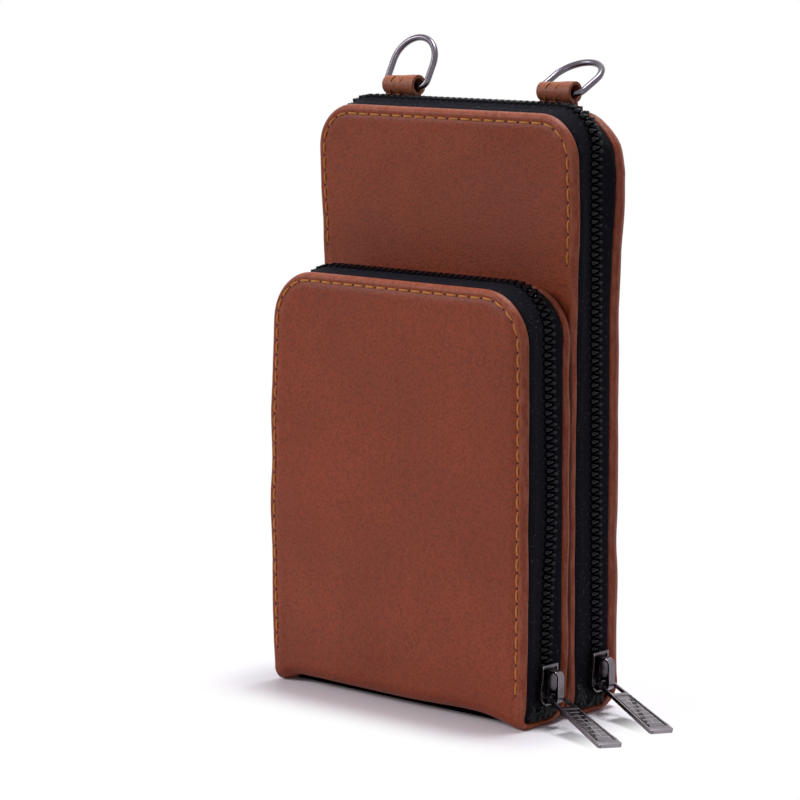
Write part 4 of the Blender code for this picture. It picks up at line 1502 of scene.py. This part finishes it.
    def tab_place(self) -> Matrix:
        """Where the tab's own space lies: its bar in the eye and its tip on the floor."""
        half = self.tab_thick / 2
        gap = 0.3 * MM
        height = self.chain.rest - self.eye_drop - gap
        reach = (self.tab_length - self.tab_bar / 2) * math.cos(self.askew)
        reach += (self.tab_far / 2 - self.tab_corner) * math.sin(self.askew)
        pitch = math.asin(height / math.hypot(reach, half)) - math.atan2(half, reach)
        eye = Matrix.Translation((self.face + self.eye_height, 0, -self.eye_drop))
        turn = Matrix.Rotation(pitch, 4, "Y") @ Matrix.Rotation(-self.askew, 4, "Z")
        return self.seat @ eye @ turn

    def build_tab(self) -> Piece:
        """The tab: thin side bars round a window, then a bordered panel with plain ribs."""
        start = -self.tab_bar / 2
        end = start + self.tab_length
        window = (self.tab_bar / 2, self.window_end)
        panel = (self.panel_start, end - self.panel_margin)
        piece = Piece(f"{self.name}_tab", bpy.ops.mesh.primitive_cube_add, size=1)
        with piece.editing():
            size = (self.tab_length, self.tab_near, self.tab_thick)
            bpy.ops.transform.resize(value=size)
            bpy.ops.transform.translate(value=(start + self.tab_length / 2, 0, 0))
            for x in (*window, *panel):
                piece.cut((x, 0, 0), (1, 0, 0))
            for side in (-1, 1):
                piece.cut((0, side * self.opening, 0), (0, 1, 0))
            piece.pick(Pick.FACES, lambda face: self.in_window(face, window))
            bpy.ops.mesh.delete(type="FACE")
            piece.pick(Pick.EDGES, lambda edge: edge.is_boundary)
            bpy.ops.mesh.bridge_edge_loops()
            piece.pick(
                Pick.EDGES,
                lambda edge: all(point.co.x > end - MM / 10 for point in edge.verts)
                and abs(edge.verts[0].co.z - edge.verts[1].co.z) > self.tab_thick / 2
                and abs(edge.verts[0].co.y) > self.tab_near * 0.45,
            )
            bpy.ops.mesh.bevel(affect="EDGES", offset=self.tab_corner, segments=4, profile=0.5)
            self.sink_panel(piece, panel)
        places = piece.points()
        share = (places[:, 0] - start) / self.tab_length
        places[:, 1] *= 1 + (self.tab_far / self.tab_near - 1) * np.clip(share, 0, 1)
        piece.move(places)
        ribs = self.ribs()
        piece.outward()
        piece.modify("BEVEL", width=0.12 * MM, segments=2, limit_method="ANGLE")
        # Painted shade, lighter, in the tab's sunk panel.
        places = piece.points()
        low = (np.abs(places[:, 2]) < self.tab_thick / 2 - 0.2 * MM) & (places[:, 0] > panel[0])
        low &= (places[:, 0] < panel[1]) & (np.abs(places[:, 1]) < self.tab_near / 2)
        wear(piece, low, 0.4)
        piece.join(ribs)
        piece.transform(self.tab_place())
        return piece

    def in_window(self, face: bmesh.types.BMFace, window: tuple[float, float]) -> bool:
        """Whether a face of the flat tab closes its window."""
        centre = face.calc_center_median()
        inside = window[0] < centre.x < window[1] and abs(centre.y) < self.opening
        return abs(face.normal.z) > 0.9 and inside

    def sink_panel(self, piece: Piece, panel: tuple[float, float]) -> None:
        """Set a bordered panel into both faces of the tab, in edit mode."""
        piece.pick(
            Pick.FACES,
            lambda face: abs(face.normal.z) > 0.9
            and panel[0] < face.calc_center_median().x < panel[1],
        )
        bpy.ops.mesh.dissolve_faces()
        for thick, deep in ((0.4, 0), (0.08, -0.26), (0.26, 0), (0.08, 0.2), (0.14, 0)):
            bpy.ops.mesh.inset(thickness=thick * MM, depth=deep * MM)

    def ribs(self) -> Piece:
        """Plain cross ribs and a long one, on both faces of the tab's panel."""
        rib = Piece("rib", bpy.ops.mesh.primitive_cube_add, size=MM)
        with rib.editing():
            rib.pick(Pick.FACES, lambda face: face.normal.z > 0.9)
            bpy.ops.mesh.inset(thickness=0.22 * MM, depth=0.3 * MM)
        places = []
        bottom = self.tab_thick / 2 - 0.3 * MM
        for side in (-1, 1):
            flip = Matrix.Rotation(0 if side > 0 else math.pi, 4, "X")
            for number in range(self.rib_count):
                x = (self.rib_first + self.rib_step * number) * MM
                wide = self.tab_near + (self.tab_far - self.tab_near) * x / self.tab_length
                wide -= self.rib_margin
                place = Matrix.Translation((x, 0, side * bottom))
                places.append(place @ flip @ Matrix.Diagonal((0.42, wide / MM, 0.4, 1)))
            place = Matrix.Translation((19.4 * MM, 0, side * bottom))
            places.append(place @ flip @ Matrix.Diagonal((18.2, 0.42, 0.4, 1)))
        made = scatter(rib, "ribs", places)
        made.outward()
        # Painted shade at the foot of each rib.
        wear(made, np.abs(made.points()[:, 2]) < bottom, 0.8)
        return made

    def build(self, palette: Palette) -> None:
        """Build slider, cap and tab."""
        pieces = (
            (self.build_body(), self.body, f"{self.name}_slider_body"),
            (self.build_cap(), self.body, f"{self.name}_slider_cap"),
            (self.build_tab(), self.tab_body, f"{self.name}_pull_tab"),
        )
        for piece, body, node in pieces:
            piece.smooth(20)
            piece.dress(palette.metal)
            piece.fit(body, "metal", node)


def wear(piece: Piece, hollow: np.ndarray, painted_shade: float = 1.0) -> None:
    """Note where plating rubs bright, on outer edges, and where shade is painted into hollows.

    Args:
        piece: The piece of metal.
        hollow: For each point, whether it lies in a hollow.
        painted_shade: How dark the painted shade is there, up to one.
    """
    shape = bmesh.new()
    shape.from_mesh(piece.object.data)
    turns = [
        max((edge.calc_face_angle_signed(0) for edge in point.link_edges), default=0)
        for point in shape.verts
    ]
    shape.free()
    piece.note("wear", ease(np.array(turns), 0.15, 0.7) * ~hollow)
    piece.note("hollow", hollow * painted_shade)


@dataclass
class Hanger:
    """A leather loop behind the top of the back wall, and the D-ring that hangs in it."""

    side: str
    wall: Wall
    lean: float
    slide: float
    turn: float
    leather: float = 1.1 * MM
    slit: float = 0.15 * MM
    tail: float = 7.5 * MM
    wire: float = 2.1 * MM
    width: float = 17.3 * MM
    height: float = 16.5 * MM
    corner: float = 2.4 * MM
    ease: float = 1.0 * MM
    thread_lines: tuple = (-2.6 * MM, 1.4 * MM)
    thread_step: float = 1.25 * MM
    thread_slant: float = 0.42
    thread_sink: float = 0.28 * MM

    def __post_init__(self) -> None:
        """Read the bar's place from the ring's joint."""
        self.bar = Vector(packed_joint(f"{self.side}_ring_swing")["pos_m"])
        low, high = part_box(f"{self.side}_loop")
        self.loop_half = (high.x - low.x) / 2 - 0.6 * MM

    def loop_line(self, share: np.ndarray) -> tuple[np.ndarray, ...]:
        """Middle line of the strap, from its back tail over the barrel to its front tail.

        Args:
            share: Places along it, from 0 to 1.

        Returns:
            Y and z of the points, and their outward directions in y and z.
        """
        radius = self.wire / 2 + self.ease + self.leather / 2
        offset = self.slit + self.leather / 2
        begin = -math.acos(offset / radius)
        sweep = math.pi - 2 * begin
        join = radius * math.sin(begin)
        drop = self.bar.z + join - (self.wall.top - self.tail)
        arc = radius * sweep
        run = share * (2 * drop + arc)
        turn = begin + np.clip((run - drop) / radius, 0, sweep)
        left = run > drop + arc
        y = np.where(run < drop, offset, np.where(left, -offset, radius * np.cos(turn)))
        low = np.where(run < drop, join - (drop - run), join - (run - drop - arc))
        straight = (run < drop) | left
        z = np.where(straight, low, radius * np.sin(turn))
        out_y = np.where(straight, np.where(left, -1.0, 1.0), np.cos(turn))
        out_z = np.where(straight, 0.0, np.sin(turn))
        return self.bar.y + y, self.bar.z + z, out_y, out_z

    def build_loop(self) -> Piece:
        """The strap end, folded round the ring's bar, with soft cut edges."""
        piece = Piece(
            f"{self.side}_strap_loop", bpy.ops.mesh.primitive_grid_add,
            x_subdivisions=22, y_subdivisions=72, size=1,
        )
        flat = piece.points()
        x = flat[:, 0] * 2 * self.loop_half
        y, z, out_y, out_z = self.loop_line(flat[:, 1] + 0.5)
        way = np.stack([x, flat[:, 1] * 30 * MM], axis=1)
        round_bar = z > self.bar.z - 2.5 * MM
        swell = 0.1 * MM * ripple(way, 9 * MM, 41) + 0.22 * MM * (x / self.loop_half) * round_bar
        swell *= np.clip((z - self.wall.top) / (3 * MM), 0, 1)
        piece.move(np.stack([self.bar.x + x, y + out_y * swell, z + out_z * swell], axis=1))
        piece.outward()
        piece.modify("SOLIDIFY", thickness=self.leather, offset=0)
        piece.modify("BEVEL", width=0.25 * MM, segments=2, limit_method="ANGLE")
        piece.round_off()
        piece.smooth(60)
        return piece

    def build_threads(self) -> Piece:
        """Two slanted lines of stitches on the front of the loop."""
        slant = Vector((-self.thread_slant, 0, 0))
        rise = self.leather / 2 - self.thread_sink
        places = []
        for start in self.thread_lines:
            for number in range(3):
                y, z, out_y, out_z = self.loop_line(np.array([0.56 + 0.115 * number]))
                out = Vector((0, out_y[0], out_z[0]))
                along = (Vector((0, -out.z, out.y)) + slant).normalized()
                side = out.cross(along).normalized()
                x = self.bar.x + start - self.thread_step * number
                places.append(stand(along, side, out, Vector((x, y[0], z[0])) + out * rise))
        stitch = Seam.stitch(2.7 * MM, 0.22 * MM, 0.34 * MM)
        return scatter(stitch, f"{self.side}_loop_thread", places)

    def ring_line(self, angle: np.ndarray) -> tuple[np.ndarray, ...]:
        """Middle line of the ring's wire, its bar through the origin along x.

        Args:
            angle: Places round it, as angles from +x.

        Returns:
            X and z of the points, and their outward directions.
        """
        half, corner = self.width / 2, self.corner
        spring = self.height - half
        stretches = np.array([
            half - corner, corner * RIGHT, spring - corner, half * math.pi,
            spring - corner, corner * RIGHT, half - corner,
        ])
        marks = np.concatenate([[0], np.cumsum(stretches)])
        run = ((angle / (2 * math.pi) + 0.25) % 1) * marks[-1]
        low_right = np.clip((run - marks[1]) / corner, 0, RIGHT) - RIGHT
        crown = np.clip((run - marks[3]) / half, 0, math.pi)
        low_left = np.clip((run - marks[5]) / corner, 0, RIGHT) + math.pi
        before = [run < mark for mark in marks[1:7]]
        x = np.select(
            before,
            [run, half - corner + corner * np.cos(low_right), half, half * np.cos(crown), -half,
             corner - half + corner * np.cos(low_left)],
            run - marks[7],
        )
        z = np.select(
            before,
            [0, corner + corner * np.sin(low_right), corner + run - marks[2],
             spring + half * np.sin(crown), spring - (run - marks[4]),
             corner + corner * np.sin(low_left)],
            0,
        )
        turn = np.select(before, [-RIGHT, low_right, 0, crown, math.pi, low_left], -RIGHT)
        return x, z, np.cos(turn), np.sin(turn)

    def build_ring(self) -> Piece:
        """The D-ring: a torus led along the D's line, leaning back in its loop."""
        unit = 0.1
        piece = Piece(
            f"{self.side}_d_ring", bpy.ops.mesh.primitive_torus_add,
            major_segments=120, minor_segments=18, major_radius=1, minor_radius=unit,
        )
        places = piece.points()
        angle = np.arctan2(places[:, 1], places[:, 0])
        out = (np.hypot(places[:, 0], places[:, 1]) - 1) / unit
        side = places[:, 2] / unit
        x, z, out_x, out_z = self.ring_line(angle)
        radius = self.wire / 2
        flat = np.stack([x + out * out_x * radius, -side * radius, z + out * out_z * radius], axis=1)
        piece.move(flat)
        piece.outward()
        place = Matrix.Translation(self.bar) @ Matrix.Rotation(-self.lean, 4, "X")
        slid = Matrix.Translation((self.slide, 0, 0)) @ Matrix.Rotation(self.turn, 4, "Y")
        piece.transform(place @ slid)
        piece.smooth(60)
        return piece

    def build(self, palette: Palette) -> None:
        """Build loop, threads and ring."""
        loop = self.build_loop()
        loop.dress(palette.strap_leather)
        loop.fit("rear_cover", "leather", f"{self.side}_loop")
        threads = self.build_threads()
        threads.dress(palette.thread)
        threads.fit("rear_cover", "thread")
        ring = self.build_ring()
        ring.note("wear", np.zeros(len(ring.object.data.vertices)))
        ring.dress(palette.wire)
        ring.fit(f"ring_{self.side}", "metal", f"{self.side}_ring")


@dataclass(frozen=True)
class Studio:
    """Camera, lamps, floor and background."""

    azimuth: float = 41.7
    elevation: float = 8.4
    distance: float = 1002 * MM
    focal_pixels: float = 3200.0
    frame_pixels: float = 800.0
    sensor: float = 36.0
    aim: tuple = (0.0, -11.95 * MM, 95 * MM)
    aim_pixels: tuple = (41.4, -3.6)
    tab_reach: float = 33 * MM
    shade_near: float = 6 * MM
    shade_far: float = 29 * MM
    paper: tuple = (0.92, 0.89, 0.96, 1)
    paper_far: tuple = (0.16, 0.16, 0.17, 1)
    lamps: tuple = (
        ("key", (-0.64, -0.86, 0.68), 0.5, 7.5),
        ("fill", (1.3, -0.75, 0.45), 0.6, 2.0),
        ("top", (0.05, 0.25, 1.4), 0.5, 18),
        ("back", (-0.9, 1.1, 0.7), 1.2, 2.2),
    )

    def camera(self) -> None:
        """Stand the camera where the photograph was taken from."""
        turn, rise = math.radians(self.azimuth), math.radians(self.elevation)
        level = math.cos(rise)
        back = Vector((math.sin(turn) * level, -math.cos(turn) * level, math.sin(rise)))
        right = Vector((math.cos(turn), math.sin(turn), 0))
        data =bpy.data.cameras.new("camera")
        data.sensor_width = self.sensor
        data.lens = self.focal_pixels / self.frame_pixels * self.sensor
        data.shift_x = -self.aim_pixels[0] / self.frame_pixels
        data.shift_y = self.aim_pixels[1] / self.frame_pixels
        data.clip_start = 10 * MM
        camera = bpy.data.objects.new("camera", data)
        spot = Vector(self.aim) + back * self.distance
        camera.matrix_world = stand(right, back.cross(right), back, spot)
        bpy.context.scene.collection.objects.link(camera)
        bpy.context.scene.camera = camera

    def lamp(self, name: str, place: tuple, size: float, power: float) -> None:
        """Hang a square soft lamp that looks at the bag."""
        data = bpy.data.lights.new(name, "AREA")
        data.size = size
        data.energy = power
        lamp = bpy.data.objects.new(name, data)
        lamp.location = place
        look = Vector(self.aim) - Vector(place)
        lamp.rotation_euler = look.to_track_quat("-Z", "Y").to_euler()
        bpy.context.scene.collection.objects.link(lamp)

    def background(self) -> None:
        """A world that looks white and lights softly."""
        world = bpy.data.worlds.new("studio")
        world.use_nodes = True
        paint = Paint(world)
        pale = {"Color": (0.97, 0.95, 1, 1), "Strength": 0.15}
        plain = paint.node("ShaderNodeBackground", {}, pale)
        white = paint.node("ShaderNodeBackground", {}, {"Color": (1, 1, 1, 1), "Strength": 1.0})
        shown = {0: self.looked(paint), 1: plain, 2: white}
        paint.finish("World Output", paint.node("ShaderNodeMixShader", {}, shown))
        bpy.context.scene.world = world

    def looked(self, paint: Paint) -> Signal:
        """One for rays that show the background: seen, mirrored or through glass."""
        kinds = ("Is Camera Ray", "Is Glossy Ray", "Is Transmission Ray")
        seen, mirrored, through = (
            paint.node("ShaderNodeLightPath", {}, {}, kind) for kind in kinds
        )
        return seen.math("MAXIMUM", seen, mirrored.math("MAXIMUM", mirrored, through))

    def floor(self) -> None:
        """A pale floor that fades to white a little way out from the bag's footprint."""
        piece = Piece("floor", bpy.ops.mesh.primitive_plane_add, size=6)
        made, paint = material("floor_paper")
        looked = self.looked(paint)
        blank = paint.node("ShaderNodeEmission", {}, {"Color": (1, 1, 1, 1), "Strength": 1.0})
        spot = paint.place()
        far = paint.node("ShaderNodeVectorMath", {"operation": "LENGTH"}, {0: spot}, "Value")
        tone = paint.mix(far.step(0.2, 0.42), self.paper, self.paper_far)
        paint.set(Base_Color=tone, Roughness=0.6)
        low, high = CAD_BOX
        tabs = self.tab_reach
        beside = abs(paint.axis("X") - (low.x + high.x - tabs) / 2) - (high.x - low.x - tabs) / 2
        before = abs(paint.axis("Y") - (low.y + high.y) / 2) - (high.y - low.y) / 2
        beside, before = (gap.math("MAXIMUM", gap, 0.0) for gap in (beside, before))
        away = (beside * beside + before * before) ** 0.5
        fade = away.step(self.shade_near, self.shade_far) * looked
        base = Signal(paint, paint.shader.outputs[0])
        whole = paint.node("ShaderNodeMixShader", {}, {0: fade, 1: base, 2: blank})
        paint.finish("Material Output", whole)
        piece.dress(made)

    def build(self) -> None:
        """Set up the whole studio."""
        self.camera()
        self.background()
        self.floor()
        for name, place, size, power in self.lamps:
            self.lamp(name, place, size, power)
        bpy.context.scene.view_settings.view_transform = "Standard"


@dataclass
class Bag:
    """The whole bag, built piece by piece."""

    palette: Palette
    short_corner: float = 16 * MM
    tall_corner: float = 13.5 * MM
    stitch_foot: float = 4.5 * MM
    short_front_spread: tuple = (
        (0, 0, 0), (14, 0.6, 0.7), (39, 1.1, 0.9), (55, 1.5, 1.0), (70, 1.2, 1.1), (88, 0.8, 1.2),
        (102, 0.0, 1.2), (118, -0.8, 1.1), (134, -1.1, 0.9),
    )
    short_back_spread: tuple = ((0, 0, 0), (22, 0.2, 0.8), (134, 0.2, 0.8))
    tall_front_spread: tuple = (
        (0, 0, 0), (85, -0.4, -0.4), (135, -1.5, 0.4), (147, -1.1, 0.9), (158, -0.2, 1.0),
        (172, 0.2, 0.4), (185, 0, 0),
    )
    tall_back_spread: tuple = (
        (0, 0, 0), (125, 0, 0), (143, 0.8, 0.8), (158, 2.0, 2.0), (167, 2.3, 2.3),
        (175, 0.8, 0.8), (181, -1.2, -1.4), (185, -1.4, -1.8),
    )

    def __post_init__(self) -> None:
        """Read the four walls."""
        short, tall = self.short_corner, self.tall_corner
        self.short_front = Wall.read("short_front", "front_cover", -1, short, self.short_front_spread)
        self.short_back = Wall.read("short_back", "middle", 1, short, self.short_back_spread)
        self.tall_front = Wall.read("tall_front", "middle", -1, tall, self.tall_front_spread)
        self.tall_back = Wall.read("tall_back", "rear_cover", 1, tall, self.tall_back_spread)
        self.short_strip = Strip(
            self.short_front, self.short_back, seam_inset=2.7 * MM, puff=0.4 * MM,
            pressed=(0, self.short_back.top), lip=2.6 * MM,
        )
        self.tall_strip = Strip(
            self.tall_front, self.tall_back, seam_inset=3.0 * MM, puff=0.12 * MM,
            pressed=(self.short_front.top - 14 * MM, 0),
        )
        self.short_chain = Chain.read(
            "short", "front", self.short_back, rise=2.0 * MM, bulge=0.95 * MM
        )
        self.tall_chain = Chain.read("tall", "rear", self.tall_back, rise=3.1 * MM, bulge=0.0)

    def seams(self) -> None:
        """The stitches that show."""
        lines = (
            ("front", self.short_strip, self.short_front, self.short_front.bend),
            ("middle", self.tall_strip, self.tall_front, self.short_front.top),
            ("rear", self.tall_strip, self.tall_back, self.tall_back.bend),
        )
        for name, strip, wall, start in lines:
            seam = Seam(strip, wall, start + self.stitch_foot)
            seam.build(self.palette, f"{name}_stitches", f"{wall.name}_thread")

    def leather(self) -> None:
        """Both strips, each parted under the bag where its cover's leather starts to turn."""
        foot = self.stitch_foot
        short = self.short_strip
        seam = short.marks[2] + 2 * MM
        cover, rest = self.halves(short, "front_leather", "middle_front_leather", seam)
        self.make_up(short, {"short_front": self.short_front.bend + foot}, cover, rest)
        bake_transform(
            cover.object, "middle", "front_cover",
            start=(0, self.short_front.face + 3.9 * MM, 1 * MM),
            end=(0, self.short_front.face + 0.3 * MM, 8 * MM),
        )
        cover.stand_for("leather", "short_front_leather")
        rest.fit("middle", "leather", "short_back_leather", "short_spine")
        tall = self.tall_strip
        seam = tall.marks[3] - 1.5 * MM
        rest, cover = self.halves(tall, "middle_back_leather", "rear_leather", seam)
        feet = {"tall_front": self.short_front.top + foot, "tall_back": self.tall_back.bend + foot}
        self.make_up(tall, feet, cover, rest)
        bend = self.tall_back.bend
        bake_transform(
            cover.object, "middle", "rear_cover",
            start=(0, self.tall_back.face - 0.85 * bend, 0.1 * bend),
            end=(0, self.tall_back.face - 0.1 * bend, 1.35 * bend),
        )
        cover.stand_for("leather", "tall_back_leather")
        rest.fit("middle", "leather", "tall_front_leather", "tall_spine")

    def halves(self, strip: Strip, front: str, back: str, seam: float) -> list[Piece]:
        """Cut a strip's leather flat, and cut it across in two.

        Args:
            strip: The strip.
            front: Name of the piece on the front side of the cut.
            back: Name of the piece on its back side.
            seam: Distance of the cut along the strip.

        Returns:
            The front and the back piece, both still flat.
        """
        pieces = [strip.cut_flat(front)]
        pieces.append(pieces[0].copy(back))
        for piece, keep_front in zip(pieces, (True, False)):
            with piece.editing():
                bpy.ops.mesh.bisect(
                    plane_co=(0, -seam, 0), plane_no=(0, 1, 0), use_fill=True,
                    clear_inner=keep_front, clear_outer=not keep_front, threshold=MM / 1000,
                )
        return pieces

    def make_up(self, strip: Strip, feet: dict[str, float], *pieces: Piece) -> None:
        """Shape flat pieces of a strip, with leather outside and lining inside."""
        for piece in pieces:
            strip.shape(piece, feet)
            piece.dress(self.palette.leather, self.palette.lining)
            piece.smooth(60)

    def build(self) -> None:
        """Build every piece."""
        self.palette.dress_solids()
        self.leather()
        self.seams()
        Zip("short", self.short_chain, self.short_front, self.short_back).build(self.palette)
        Zip("tall", self.tall_chain, self.tall_front, self.tall_back).build(self.palette)
        Slider("short", self.short_chain, "front_slider", "front_tab").build(self.palette)
        Slider("tall", self.tall_chain, "rear_slider", "rear_tab").build(self.palette)
        for side, lean, slide, turn in (("left", 25, 0.8 * MM, 3), ("right", 59, 0.0, 6)):
            hanger = Hanger(side, self.tall_back, math.radians(lean), slide, math.radians(turn))
            hanger.build(self.palette)


def main() -> None:
    """Build the bag and its studio."""
    logging.basicConfig(level=logging.INFO, format="%(name)s %(message)s")
    Studio().build()
    Bag(Palette()).build()


if __name__ == "__main__":
    main()
